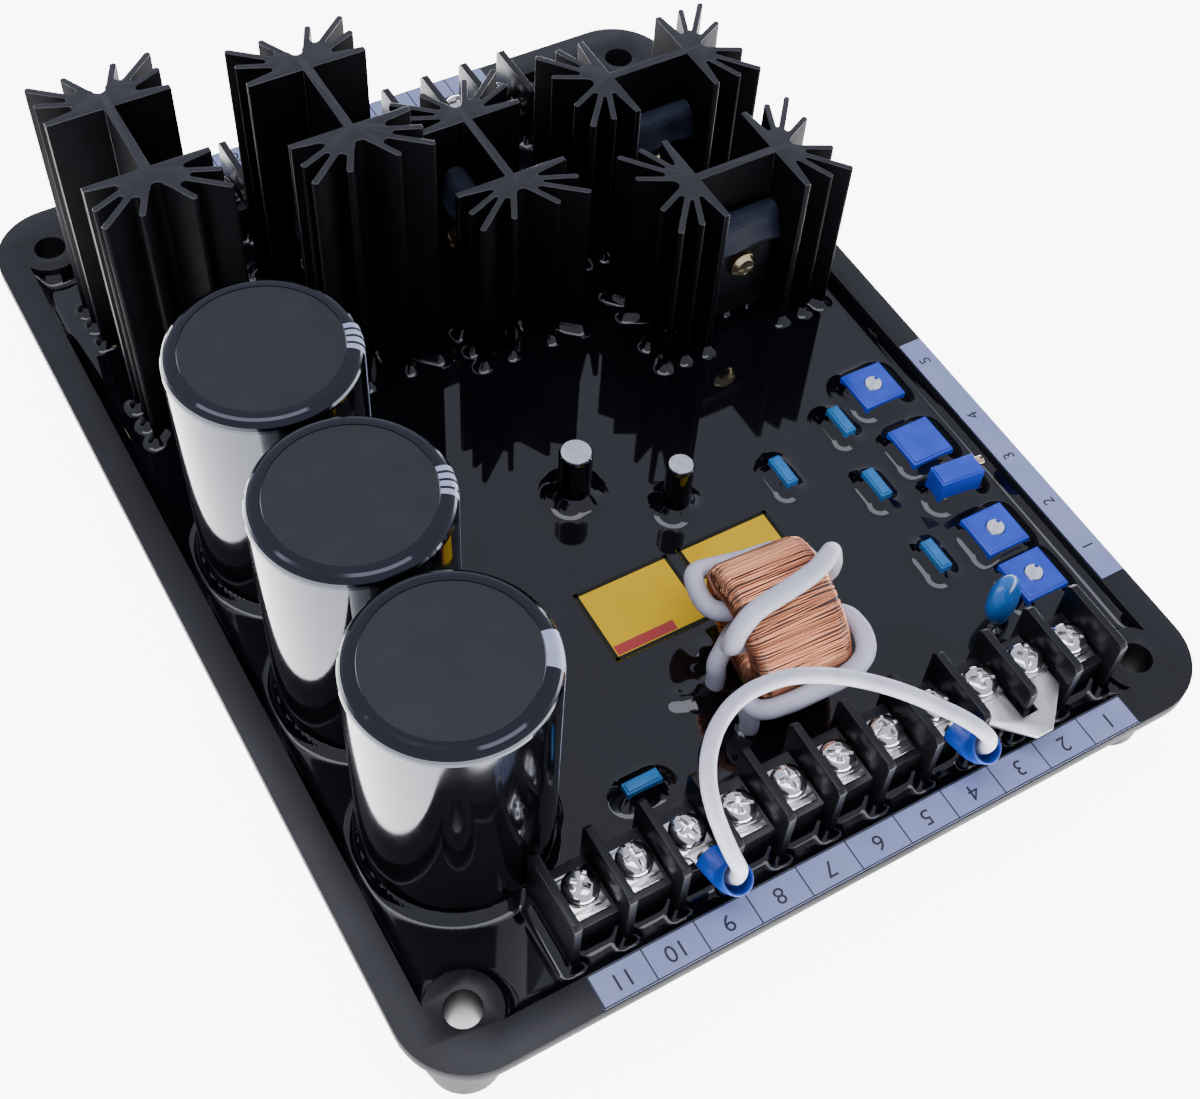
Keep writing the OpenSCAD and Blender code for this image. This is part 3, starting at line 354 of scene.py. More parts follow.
# %% Mix the finishes
tray_black = finish("tray black", (0.004, 0.004, 0.005), (0.007, 0.007, 0.009), (0.34, 0.44), 45, 3000, 0.25,
                    gloss=0.35)
skirt_black = finish("skirt black", (0.004, 0.004, 0.005), (0.007, 0.007, 0.009), (0.45, 0.55), 45, 3000,
                     0.25, gloss=0.04)
resin_black = finish("resin black", (0.002, 0.002, 0.003), (0.003, 0.003, 0.005), (0.02, 0.05), 25, 90, 0.02,
                     0.0002)
sleeve_black = finish("sleeve black", (0.001, 0.001, 0.0014), (0.0018, 0.0018, 0.0024), (0.05, 0.1), 70, 700,
                      0.06, 0.00005, specular_tint=(0.78, 0.84, 1, 1))
disc_black = finish("disc black", (0.005, 0.005, 0.007), (0.009, 0.009, 0.012), (0.42, 0.55), 90, 2600, 0.7,
                    0.00008, gloss=0.42)
anodised = finish("black anodised", (0.0028, 0.0028, 0.0034), (0.004, 0.004, 0.005), (0.5, 0.6), 80, 700, 0.2,
                  0.00003, lines=(1, 1, 0.03), gloss=0.03)
# Fin edges: a lighter, glossier tone on the bevel faces, which is a painted highlight.
fin_edge_painted_highlight = finish("fin edge painted highlight", (0.01, 0.01, 0.012), (0.03, 0.03, 0.035), (0.25, 0.35), 300, 900, 0.15,
                  0.00003, lines=(1, 1, 0.03), gloss=0.6)
# Sawn fin ends: real cross lines, and a lighter tone that is painted light falling on the upward faces.
sawn_end_painted_light = finish("sawn fin end with painted light", (0.006, 0.006, 0.008), (0.01, 0.01, 0.013), (0.35, 0.45), 200, 900, 0.3,
                  0.00004, lines=(0.05, 1, 1), gloss=0.45)
strip_black = finish("strip black", (0.003, 0.003, 0.004), (0.006, 0.006, 0.008), (0.3, 0.4), 90, 2600, 0.2,
                     gloss=0.35)
device_black = finish("device epoxy", (0.002, 0.002, 0.003), (0.004, 0.004, 0.005), (0.45, 0.55), 90, 2200,
                      0.35, gloss=0.2)
nickel = finish("bright nickel", (0.6, 0.59, 0.57), (0.74, 0.73, 0.71), (0.07, 0.16), 400, 1500, 0.1,
                metallic=1)
tin = finish("tinned brass", (0.55, 0.54, 0.51), (0.7, 0.69, 0.66), (0.28, 0.42), 160, 1200, 0.2, metallic=1)
brass = finish("plain brass", (0.62, 0.5, 0.26), (0.78, 0.66, 0.4), (0.16, 0.26), 300, 1500, 0.15, metallic=1)
bare_can = finish("bare aluminium", (0.62, 0.62, 0.64), (0.74, 0.74, 0.76), (0.25, 0.35), 200, 1200, 0.15,
                  metallic=1)
copper = finish("enamelled copper", (0.5, 0.185, 0.09), (0.98, 0.46, 0.25), (0.28, 0.4), 220, 900, 0.15,
                metallic=1, tone_from="tone")
copper_shade = finish("copper in shade", (0.05, 0.018, 0.01), (0.1, 0.04, 0.022), (0.4, 0.5), 220, 900, 0.2)
silicone = finish("white silicone", (0.5, 0.49, 0.56), (0.57, 0.56, 0.63), (0.4, 0.5), 120, 900, 0.12,
                  subsurface_weight=0.05)
vinyl_blue = finish("blue vinyl", (0.004, 0.035, 0.28), (0.008, 0.06, 0.42), (0.3, 0.42), 200, 600, 0.15)
trimmer_blue = finish("trimmer blue", (0.014, 0.05, 0.5), (0.022, 0.07, 0.58), (0.3, 0.4), 150, 2000, 0.12)
film_blue = finish("film blue", (0.02, 0.15, 0.38), (0.03, 0.19, 0.46), (0.4, 0.5), 200, 1500, 0.15,
                   gloss=0.3)
disc_blue = finish("disc blue", (0.006, 0.1, 0.34), (0.012, 0.14, 0.44), (0.16, 0.24), 250, 700, 0.2)
amber = finish("amber coating", (0.42, 0.2, 0.02), (0.52, 0.28, 0.03), (0.2, 0.3), 250, 700, 0.2)
dial_white = finish("dial white", (0.62, 0.63, 0.66), (0.72, 0.73, 0.76), (0.35, 0.45), 250, 1800, 0.1)
pad_grey = finish("pad grey", (0.014, 0.018, 0.028), (0.022, 0.028, 0.042), (0.4, 0.55), 120, 1400, 0.2,
                  gloss=0.1)
label_lilac = finish("label lilac", (0.24, 0.28, 0.47), (0.28, 0.32, 0.52), (0.4, 0.5), 60, 2500, 0.1)
label_yellow = finish("label yellow", (0.68, 0.42, 0.0), (0.76, 0.48, 0.0), (0.3, 0.4), 60, 2500, 0.1,
                      gloss=0.2)
label_red = finish("label red", (0.35, 0.02, 0.015), (0.42, 0.03, 0.02), (0.3, 0.4), 60, 2500, 0.1)
print_grey = finish("sleeve print", (0.3, 0.33, 0.45), (0.36, 0.39, 0.52), (0.3, 0.4), 120, 1800, 0.1)
ink = finish("label ink", (0.008, 0.009, 0.014), (0.012, 0.013, 0.02), (0.4, 0.5), 60, 2500, 0.1)
frame_ink = finish("notice frame", (0.006, 0.006, 0.003), (0.01, 0.01, 0.006), (0.35, 0.45), 60, 2500, 0.1,
                   gloss=0.2)
laminate = finish("board laminate", (0.015, 0.07, 0.03), (0.02, 0.09, 0.04), (0.4, 0.5), 60, 1500, 0.2)
ferrite = finish("ferrite", (0.03, 0.03, 0.032), (0.05, 0.05, 0.053), (0.5, 0.6), 90, 1500, 0.2)
dress(jumper, silicone)
print("finishes:", len(bpy.data.materials))

# %% [markdown]
# ## Softened edges
#
# A moulded or pressed edge is never razor sharp, and the thin bright line along it is what the eye
# reads as real. The solids come as loose triangles, so a copy is merged, its flat areas are dissolved
# into whole faces, and a Bevel modifier rounds what is left of the edges. The copy then stands for its node.
# The heat sinks get three finishes: matt anodised flats, edges with a lighter, glossier tone that is a
# painted highlight, and sawn ends with real cross lines, a gloss that shows the sky and a lighter tone that
# is painted light from above. The Bevel modifier can give its own faces a material, which marks the edges for
# free.


# %% Soften the solids
MERGE_GAP = 0.002 * MM


def merge(piece):
    """Merges a mesh's doubled points, and stays in edit mode with all of it selected."""
    pick(piece)
    bpy.ops.object.mode_set(mode="EDIT")
    bpy.ops.mesh.select_all(action="SELECT")
    bpy.ops.mesh.remove_doubles(threshold=MERGE_GAP)


def soften(node, width, material, segments=2, angle=35, edge=None, end=None):
    """A copy of a node with rounded edges, which stands for it; edges may take a painted highlight, and ends
    painted light.
    """
    piece = linked(node + "_dressed", nodes[node].data.copy())
    dress(piece, material)
    if edge:
        piece.data.materials.append(edge)
        piece.data.materials.append(end)
    merge(piece)
    bpy.ops.mesh.dissolve_limited(angle_limit=math.radians(0.5))
    bpy.ops.object.mode_set(mode="OBJECT")
    press(piece, "BEVEL", width=width * MM, segments=segments, limit_method="ANGLE", use_clamp_overlap=True,
          angle_limit=math.radians(angle), harden_normals=False, material=1 if edge else -1)
    smooth(piece, angle)
    if end:
        # Upward faces take the end finish, whose lighter tone is painted light from above.
        for face in piece.data.polygons:
            if face.normal.z > 0.95:
                face.material_index = 2
    body = next(name for name, members in frame["record"]["behaviour"]["bodies"].items() if node in members)
    return hand_over(piece, node + "_dressed", body, [node])


SOFT_EDGES = [
    ("tray", 0.5, tray_black),
    ("front_terminal_block", 0.22, strip_black), ("back_terminal_block", 0.22, strip_black),
    ("front_clamp_plates", 0.12, nickel), ("back_clamp_plates", 0.12, nickel),
    ("front_terminal_plates", 0.12, nickel), ("back_terminal_plates", 0.12, nickel),
    ("shorting_link", 0.12, tin), ("jumper_lug_left", 0.1, tin), ("jumper_lug_right", 0.1, tin),
    ("power_devices", 0.2, device_black), ("device_screws", 0.15, brass), ("film_capacitors", 0.2, film_blue),
    ("covered_trimmer", 0.25, trimmer_blue), ("multiturn_housing", 0.25, trimmer_blue),
    ("adjusting_screw", 0.1, brass)]
SOFT_EDGES += [("trimmer_housing_%d" % i, 0.25, trimmer_blue) for i in range(1, 4)]
SOFT_EDGES += [("trimmer_dial_%d" % i, 0.12, dial_white) for i in range(1, 4)]
for node, width, material in SOFT_EDGES:
    soften(node, width, material)
for i in range(1, 6):
    soften("heat_sink_%d" % i, 0.11, anodised, angle=50, edge=fin_edge_painted_highlight, end=sawn_end_painted_light)
print("softened", len(SOFT_EDGES) + 5, "nodes")

# %% [markdown]
# ## The tray's outside
#
# The flange and the well are satin, but the outside of the tray came from a matt half of the mould. Faces
# that look outwards or down get that finish, and the insides of the mounting holes stay as they are.

# %% Make the tray's outside matt
HOLE_X = 68.8 * MM
HOLE_Y = 93.8 * MM
HOLES = [Vector((sx * HOLE_X, sy * HOLE_Y, 0)) for sx in (-1, 1) for sy in (-1, 1)]
HOLE_KEEP_R = 3.9 * MM
FLANGE_KEEP = 0.8 * MM
tray = bpy.data.objects["tray_dressed"]
tray.data.materials.append(skirt_black)
flange_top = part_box("front_label")[0].z
matt_faces = 0
for face in tray.data.polygons:
    outward = face.normal.xy.dot(face.center.xy.normalized())
    in_hole = any((face.center.xy - hole.xy).length < HOLE_KEEP_R for hole in HOLES)
    looks_out = outward > 0.2 or face.normal.z < -0.5
    if looks_out and not in_hole and face.center.z < flange_top - FLANGE_KEEP:
        face.material_index = 1
        matt_faces += 1
print("matt faces on the tray:", matt_faces)

# %% [markdown]
# ## Solids that are right as they are
#
# Turned and drawn parts such as the capacitors' cans and sleeves already have their rounds in the
# solid, so they only need a finish and smooth shading.

# %% Finish the remaining nodes
AS_THEY_ARE = {
    "circuit_board": laminate, "potting": resin_black, "transformer_core": ferrite,
    "insulating_pads": pad_grey, "dipped_capacitor": amber,
    "front_label": label_lilac, "back_label": label_lilac, "side_label": label_lilac,
    "notice_label_left": label_yellow, "notice_label_right": label_yellow}
for i in range(1, 4):
    AS_THEY_ARE["capacitor_can_%d" % i] = bare_can
    AS_THEY_ARE["capacitor_disc_%d" % i] = disc_black
    AS_THEY_ARE["capacitor_sleeve_%d" % i] = sleeve_black
for i in range(1, 3):
    AS_THEY_ARE["control_capacitor_can_%d" % i] = bare_can
    AS_THEY_ARE["control_capacitor_sleeve_%d" % i] = sleeve_black
for node, material in AS_THEY_ARE.items():
    dress(nodes[node], material)
print("finished", len(AS_THEY_ARE), "nodes as they are")

# %% [markdown]
# ## A few small tools
#
# Round parts are spun from half of their outline, and recesses are cut with Boolean bars. These steps come
# back often, so they are written once.


# %% Outline, spin, bar, cut and copies
def outline_piece(points):
    """A chain of edges through points in millimetres, left in edit mode with all of it selected."""
    mesh = bpy.data.meshes.new("outline")
    links = [(i, i + 1) for i in range(len(points) - 1)]
    mesh.from_pydata([[value * MM for value in point] for point in points], links, [])
    piece = linked("outline", mesh)
    pick(piece)
    bpy.ops.object.mode_set(mode="EDIT")
    bpy.ops.mesh.select_all(action="SELECT")
    return piece


def spun(outline, steps=32, sweep=math.tau):
    """A shape of revolution about Z from an outline of (radius, height) points in millimetres."""
    piece = outline_piece([(r, 0, z) for r, z in outline])
    bpy.ops.mesh.spin(steps=steps, angle=sweep, axis=(0, 0, 1), center=(0, 0, 0))
    bpy.ops.mesh.select_all(action="SELECT")
    bpy.ops.mesh.remove_doubles(threshold=MERGE_GAP)
    bpy.ops.mesh.normals_make_consistent(inside=False)
    bpy.ops.object.mode_set(mode="OBJECT")
    return piece


def bar(length, width, height, middle):
    """A plain cutting bar in millimetres."""
    bpy.ops.mesh.primitive_cube_add(size=1, location=[v * MM for v in middle])
    piece = bpy.context.object
    piece.scale = (length * MM, width * MM, height * MM)
    return settle(piece)


def copied(model, place):
    """A copy of a model with its own mesh, moved to a place."""
    piece = linked(model.name, model.data.copy())
    piece.data.transform(place)
    return piece


def shift(x, y, z=0):
    """A move in millimetres."""
    return Matrix.Translation(Vector((x, y, z)) * MM)


def cut(piece, tools):
    """Takes tools away from a piece and removes them."""
    for tool in tools:
        press(piece, "BOOLEAN", operation="DIFFERENCE", object=tool, solver="EXACT")
        bpy.data.objects.remove(tool)
    return piece


print("tools ready")

# %% [markdown]
# ## Insulating flaps
#
# Behind each power device sits a thin grey insulating sheet. It stands above the device, curls over and
# hangs down in front like a roof. The curl is in the solid. The flap goes on from it: a short outline is
# extruded along the sheet's width, cut finer, given a wave and a thickness, and copied to every sink.

# %% Hang the flaps
SINK_WEBS = [
    (-56.52, 56.86, 90), (-20.71, 51.0, 90), (8.89, 45.1, 90), (49.57, 52.79, 180), (49.57, 19.69, 180)]
FLAP_W = 16.2
FLAP_WAVE = 0.45
WEB_HALF, PAD_T, DEVICE_T = 0.9, 0.5, 4.9
PAD_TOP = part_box("insulating_pads")[1].z / MM
DEVICE_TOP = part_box("power_devices")[1].z / MM
DEVICE_FRONT = WEB_HALF + PAD_T + DEVICE_T
flap_outline = [(4.5, PAD_TOP - 0.42), (5.3, PAD_TOP - 0.8), (5.9, PAD_TOP - 1.8), (6.2, PAD_TOP - 3.2),
                (DEVICE_FRONT + 0.25, PAD_TOP - 4.8), (DEVICE_FRONT + 0.9, DEVICE_TOP + 0.2)]
flap = outline_piece([(-FLAP_W / 2, y, z) for y, z in flap_outline])
bpy.ops.mesh.extrude_region_move(TRANSFORM_OT_translate={"value": (FLAP_W * MM, 0, 0)})
bpy.ops.mesh.select_all(action="SELECT")
bpy.ops.mesh.subdivide(number_cuts=5)
bpy.ops.mesh.normals_make_consistent(inside=False)
bpy.ops.object.mode_set(mode="OBJECT")
for point in flap.data.vertices:
    hang = (PAD_TOP - point.co.z / MM) / (PAD_TOP - DEVICE_TOP)
    point.co.y += FLAP_WAVE * MM * hang * math.sin(point.co.x / MM * 0.5)
press(flap, "SOLIDIFY", thickness=0.35 * MM, offset=0)
bpy.ops.object.shade_smooth()
flaps = []
for x, y, turn in SINK_WEBS:
    flaps.append(copied(flap, shift(x, y) @ Matrix.Rotation(math.radians(turn), 4, "Z")))
bpy.data.objects.remove(flap)
dress(hand_over(weld(flaps), "pad_flaps"), pad_grey)
print("flaps:", len(flaps))

# %% [markdown]
# ## The disc capacitor
#
# The disc capacitor was dipped in lacquer, so it is a fat lentil and not a sharp lens. A sphere is
# flattened, and its lower end is drawn down to the two leads.

# %% Dip the disc capacitor
DISC_R = 4.95
DISC_HALF_T = 2.35
LEAD_OFFSET = 2.5
DRAWN_FROM = 0.55
DRAWN_DOWN = 0.9
at_disc = shift(53.8, -74.2, 19.0) @ Matrix.Rotation(math.radians(20), 4, "Z")
bpy.ops.mesh.primitive_uv_sphere_add(segments=40, ring_count=24, radius=1)
lentil = bpy.context.object
lentil.scale = (DISC_R * MM, DISC_HALF_T * MM, DISC_R * MM)
settle(lentil)
for point in lentil.data.vertices:
    low_share = max(0, -point.co.z / (DISC_R * MM) - DRAWN_FROM) / (1 - DRAWN_FROM)
    point.co.z -= DRAWN_DOWN * MM * low_share * min(1, abs(point.co.x) / (1.4 * MM))
    point.co.y *= 1 + 0.1 * noise.noise(point.co * 300)
lentil.data.transform(at_disc @ Matrix.Rotation(math.radians(-14), 4, "X") @ shift(0, 0, 4.9))
pick(lentil)
bpy.ops.object.shade_smooth()
leads = []
for side in (-1, 1):
    lead = spun([(0, -2.9), (0.4, -2.9), (0.4, 2.4), (0, 2.4)], steps=16)
    lead.data.transform(at_disc @ shift(side * LEAD_OFFSET, 0))
    smooth(lead, 40)
    leads.append(dress(lead, tin))
dress(lentil, disc_blue)
hand_over(weld([lentil] + leads), "disc_capacitor_dressed",
          stands_for=["disc_capacitor"])
print("disc capacitor dipped")

# %% [markdown]
# ## The small cans' tops
#
# The small can capacitors show a wide bare top with a scored cross inside a thin black lip. The top is a
# spun disc, and two bars cut the cross, which lets a failing can open gently.

# %% Top the small cans
CONTROL_PLACES = [((-2.4, -11.4), 3.3), ((13.6, -23.0), 2.7)]
CONTROL_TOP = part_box("control_capacitor_sleeve_1")[1].z / MM
tops = []
for (x, y), radius in CONTROL_PLACES:
    rim = radius - 0.35
    top_outline = [
        (0, -0.25), (rim - 0.1, -0.25), (rim, -0.1), (rim - 0.08, 0.04), (rim - 0.3, 0.06), (0, 0.02)]
    top = spun(top_outline, steps=40)
    cut(top, [bar(rim * 1.7, 0.16, 0.2, (0, 0, 0.08)), bar(0.16, rim * 1.7, 0.2, (0, 0, 0.08))])
    smooth(top, 35)
    top.data.transform(shift(x, y, CONTROL_TOP) @ Matrix.Rotation(0.6, 4, "Z"))
    tops.append(top)
dress(hand_over(weld(tops), "control_capacitor_tops"), bare_can)
print("small cans topped")

# %% [markdown]
# ## The resin's surface
#
# The resin was poured as a liquid. It crept up every wall that it met and set there, and those small
# curved rims catch the light all over the board. A fine grid is laid on the resin, and each point is
# lifted by its distance to the nearest wall, so the rims follow every fin and barrier by themselves.
# Small parts sit in wider mounds of it, and a few lumps by the transformer's leads are added the same way.
# Faces that lie inside the parts are deleted, and the sheet is then given a thickness. It is poured in a
# front and a back half, so that neither grows too large.

# %% Pour the resin
RESIN_LOW, RESIN_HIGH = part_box("potting")
RIM_HEIGHT = 1.6 * MM
RIM_REACH = 2.2 * MM
FOOT_HEIGHT = 0.5 * MM
FOOT_REACH = 0.8 * MM
MOUND_HEIGHT = 2.0 * MM
MOUND_REACH = 3.8 * MM
MOUND_CORNER = 2.5 * MM
GRID_STEP = 0.53 * MM
SHEET_LIFT = 0.04 * MM
SHEET_T = 0.03 * MM
BURIED_DEPTH = 1.6 * GRID_STEP
BOSS_CUT_R = 6.1 * MM
CREEP_INSIDE = 0.22
LUMPS = [
    ((-8.7, -60.4), 0.8, 2.2), ((-6.2, -61.8), 0.6, 1.8), ((1, -53.6), 0.7, 2.0), ((-4, -60.6), 0.7, 2.4)]
FILM_PLACES = [(52.9, -21.9, 1.25, 3.5), (35.5, -27.2, 1.25, 3.5), (50.1, -38.3, 1.25, 3.5),
               (50.2, -57.6, 1.25, 3.5), (-23.6, -72.7, 3.5, 1.25)]
SMALL = ["control_capacitor_sleeve_1", "control_capacitor_sleeve_2", "multiturn_housing", "covered_trimmer"]
SMALL += ["trimmer_housing_%d" % i for i in range(1, 4)]
STANDING = ["tray", "power_devices", "front_terminal_block", "back_terminal_block"]
STANDING += ["capacitor_sleeve_%d" % i for i in range(1, 4)]
STANDING += ["heat_sink_%d" % i for i in range(1, 6)]


def wall_tree(names):
    """One search tree over the faces of several nodes."""
    corners, faces = [], []
    for name in names:
        mesh = nodes[name].data
        start = len(corners)
        corners += [v.co.copy() for v in mesh.vertices]
        faces += [[start + i for i in p.vertices] for p in mesh.polygons]
    return bvhtree.BVHTree.FromPolygons(corners, faces)


def creep(tree, place, height, reach):
    """How far the resin climbs at a place: steep at a wall, flat at the foot; and the depth inside a part."""
    away = tree.find_nearest(place)[3]
    roof, roof_normal, _, _ = tree.ray_cast(place, Vector((0, 0, 1)))
    depth = away if roof and roof_normal.z > 0 else -away
    share = max(0, 1 + min(depth, CREEP_INSIDE * reach) / reach)
    return height * share * share, depth


def mound(place, middle, half):
    """The height of the mound round a small part, whose outline is rounded at its corners."""
    corner = min(half.x, half.y, MOUND_CORNER)
    off_x = max(0, abs(place.x - middle.x) - half.x + corner)
    off_y = max(0, abs(place.y - middle.y) - half.y + corner)
    gap = math.hypot(off_x, off_y) - corner
    share = min(1.1, max(0, 1 - gap / MOUND_REACH))
    return MOUND_HEIGHT * share * share


mounds = []
for name in SMALL:
    low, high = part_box(name)
    mounds.append(((low + high) / 2, (high - low) / 2))
for x, y, half_x, half_y in FILM_PLACES:
    mounds.append((Vector((x, y, 0)) * MM, Vector((half_x, half_y, 0)) * MM))
big_walls = wall_tree(STANDING)
small_walls = wall_tree(SMALL + ["film_capacitors", "dipped_capacitor", "disc_capacitor", "primary_wire"])


def pour(name, low_y, high_y):
    """One sheet of resin between two depths of the well."""
    span_x, span_y = RESIN_HIGH.x - RESIN_LOW.x, high_y - low_y
    cells_x, cells_y = round(span_x / GRID_STEP), round(span_y / GRID_STEP)
    bpy.ops.mesh.primitive_grid_add(x_subdivisions=cells_x, y_subdivisions=cells_y, size=1,
                                    location=(0, (low_y + high_y) / 2, RESIN_HIGH.z))
    sheet = bpy.context.object
    sheet.scale = (span_x, span_y, 1)
    settle(sheet)
    buried = []
    for point in sheet.data.vertices:
        rim, deep = creep(big_walls, point.co, RIM_HEIGHT, RIM_REACH)
        foot, small_deep = creep(small_walls, point.co, FOOT_HEIGHT, FOOT_REACH)
        buried.append(max(deep, small_deep) > BURIED_DEPTH)
        lift = max(rim, foot, max(mound(point.co, *shape) for shape in mounds))
        for (x, y), height, reach in LUMPS:
            off = (point.co.xy - Vector((x, y)) * MM).length / (reach * MM)
            lift += height * MM * math.exp(-off * off)
        point.co.z += SHEET_LIFT + lift
    pick(sheet)
    bpy.ops.object.mode_set(mode="EDIT")
    bpy.ops.mesh.select_all(action="DESELECT")
    bpy.ops.object.mode_set(mode="OBJECT")
    for face in sheet.data.polygons:
        bored = any((face.center.xy - hole.xy).length < BOSS_CUT_R for hole in HOLES)
        face.select = bored or all(buried[i] for i in face.vertices)
    bpy.ops.object.mode_set(mode="EDIT")
    bpy.ops.mesh.delete(type="FACE")
    bpy.ops.object.mode_set(mode="OBJECT")
    press(sheet, "SOLIDIFY", thickness=SHEET_T, offset=-1)
    smooth(sheet, 70)
    dress(hand_over(sheet, name), resin_black)
    print(name, len(sheet.data.polygons), "faces")


pour("resin_front", RESIN_LOW.y, 0)
pour("resin_back", 0, RESIN_HIGH.y)

# %% [markdown]
# ## Terminal screws
#
# Each screw has a domed head with a cross recess and a straight slot. The dome is spun from half of its
# outline, and three Boolean bars cut the recess and the slot.


# %% Make one screw
SCREW_OUTLINE = [
    (0, -9.5), (1.45, -9.5), (1.7, -9.2), (1.7, 0), (3.05, 0), (3.2, 0.15), (3.2, 1.05), (3.05, 1.5),
    (2.65, 1.95), (2.0, 2.28), (1.1, 2.46), (0, 2.5)]
screw = spun(SCREW_OUTLINE)
cross = [bar(3.9, 0.95, 2.4, (0, 0, 2.35)), bar(0.95, 3.4, 2.2, (0, 0, 2.35))]
cut(screw, cross + [bar(7, 0.6, 1.2, (0, 0, 2.55))])
press(screw, "BEVEL", width=0.09 * MM, segments=2, limit_method="ANGLE", angle_limit=math.radians(40))
smooth(screw, 35)
print("one screw:", len(screw.data.polygons), "faces")

# %% [markdown]
# ## A row of screws
#
# The finished screw is copied to every terminal, turned a little differently each time, as hands leave
# them. Screws that hold a lug or the link stand higher by its thickness.


# %% Copy the screw to both strips
def set_screws(node, count, along, row_y, lifted, seed):
    """Copies of the screw at every terminal of one strip, which stand for that strip's node."""
    dice = random.Random(seed)
    copies = []
    for i in range(count):
        place = shift(along(i), row_y, HEAD_Z + (LIFT if i + 1 in lifted else 0))
        copies.append(copied(screw, place @ Matrix.Rotation(dice.uniform(0, math.tau), 4, "Z")))
    return dress(hand_over(weld(copies), node + "_dressed", stands_for=[node]), nickel)


CLAMP_T = 0.85
HEAD_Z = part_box("front_clamp_plates")[0].z / MM + CLAMP_T
LIFT = 0.85
BACK_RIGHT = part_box("back_terminal_block")[1].x / MM - HALF_BARRIER
BACK_PITCH = 9.5
FRONT_COUNT = 11
BACK_COUNT = 8
ON_LUGS_AND_LINK = (3, 8, 9, 10)
set_screws("front_terminal_screws", FRONT_COUNT, lambda i: STRIP_LEFT + (i + 0.5) * PITCH, SCREW_ROW_Y,
           lifted=ON_LUGS_AND_LINK, seed=5)
set_screws("back_terminal_screws", BACK_COUNT, lambda i: BACK_RIGHT - (i + 0.5) * BACK_PITCH, -SCREW_ROW_Y,
           lifted=(), seed=8)
bpy.data.objects.remove(screw)
print("screws set")

# %% [markdown]
# ## Crimp sleeves
#
# Each lug wears a blue vinyl sleeve: it grips the barrel, bends up and opens into a funnel for the wire.
# A curve whose points have their own radius makes such a horn in one go. Turned into a mesh, it gets its
# wall from Solidify and its softness from a subdivision. A little noise dents the vinyl and makes the cut
# mouth ragged.


# %% Make the sleeves
SLEEVE_FINENESS = 3
SLEEVE_TURN_R = 3.4
SLEEVE_BEND = math.radians(58)
OPEN_OUT, OPEN_UP = 0.85, 1.36
SLEEVE_WALL = 0.38
DENT_DEPTH = 0.16
RAGGED_BY = 0.9
MOUTH_REACH = 4.2


def sleeve(end, name, node):
    """One funnel-shaped sleeve round a lug's barrel."""
    stops = [((4.95, BARREL_R), 5.1), ((5.6, BARREL_R), 5.25), ((BARREL_END, BARREL_R), 5.25)]
    for step in range(1, 6):
        angle = SLEEVE_BEND * step / 5
        out = BARREL_END + SLEEVE_TURN_R * math.sin(angle)
        up = BARREL_R + SLEEVE_TURN_R * (1 - math.cos(angle))
        stops.append(((out, up), 5.2 + 0.5 * step / 5))
    last_out, last_up = out + OPEN_OUT, up + OPEN_UP
    stops.append(((last_out, last_up), 5.9))
    route = [lug_point(end, *stop) * MM for stop, _ in stops]
    piece = wire_curve(name, route, [across * MM for _, across in stops], SLEEVE_FINENESS, caps=False)
    piece = as_mesh(piece)
    bpy.ops.object.mode_set(mode="EDIT")
    bpy.ops.mesh.select_all(action="SELECT")
    bpy.ops.mesh.normals_make_consistent(inside=False)
    bpy.ops.object.mode_set(mode="OBJECT")
    press(piece, "SOLIDIFY", thickness=SLEEVE_WALL * MM, offset=-1)
    press(piece, "SUBSURF", levels=1, render_levels=1)
    mouth = lug_point(end, last_out + OPEN_OUT, last_up + OPEN_UP) * MM
    for point in piece.data.vertices:
        dent = noise.noise(point.co * 420)
        near_mouth = max(0, 1 - (point.co - mouth).length / (MOUTH_REACH * MM))
        point.co += point.normal * DENT_DEPTH * MM * dent
        point.co.z += RAGGED_BY * MM * near_mouth * noise.noise(point.co * 640)
    bpy.ops.object.shade_smooth()
    return dress(hand_over(piece, name, stands_for=[node]), vinyl_blue)


sleeve(0, "sleeve_left", "crimp_sleeve_left")
sleeve(1, "sleeve_right", "crimp_sleeve_right")
print("sleeves made")

# %% [markdown]
# ## The current transformer
#
# A ring core is wound close with thin enamelled wire. One turn is a rounded oblong loop. It is made once as
# a beveled curve, turned into a mesh, and copied round the ring, each copy tipped by a hair, so the layer
# looks wound and not ribbed.

# %% Wind the thin wire
RING_R = 12.9
RING_MID_R = 9.55
RING_HALF = 3.35
RING_HALF_W = 9.0
RING_CORNER = 2.4
RING_TURN = math.radians(-8)
RING_LEAN = math.radians(9)
RING_LOW = ((RING_R - RING_CORNER) * math.cos(RING_LEAN) + (RING_HALF_W - RING_CORNER) * math.sin(RING_LEAN)
            + RING_CORNER)
RING_AT = Vector((10.4, -61.0, RESIN_HIGH.z / MM + 0.1 + RING_LOW))
THIN_WIRE = 0.32
THIN_TURNS = 235
at_ring = shift(*RING_AT) @ Matrix.Rotation(RING_TURN, 4, "Z") @ Matrix.Rotation(-RING_LEAN, 4, "Y")

under = linked("winding_under", nodes["transformer_winding"].data.copy())
merge(under)
bpy.ops.object.mode_set(mode="OBJECT")
for point in under.data.vertices:
    point.co -= point.normal * THIN_WIRE * MM
smooth(under, 40)
dress(under, copper_shade)
hand_over(under, "winding_under", stands_for=["transformer_winding"])


def oblong(half_out, half_along, corner, steps=2):
    """Points of a rounded oblong, out from the ring's axis and along it."""
    points = []
    for k, (sx, sy) in enumerate([(1, 1), (-1, 1), (-1, -1), (1, -1)]):
        for i in range(steps + 1):
            angle = math.radians(90 * k + 90 * i / steps)
            points.append((sx * (half_out - corner) + corner * math.cos(angle),
                           sy * (half_along - corner) + corner * math.sin(angle)))
    return points


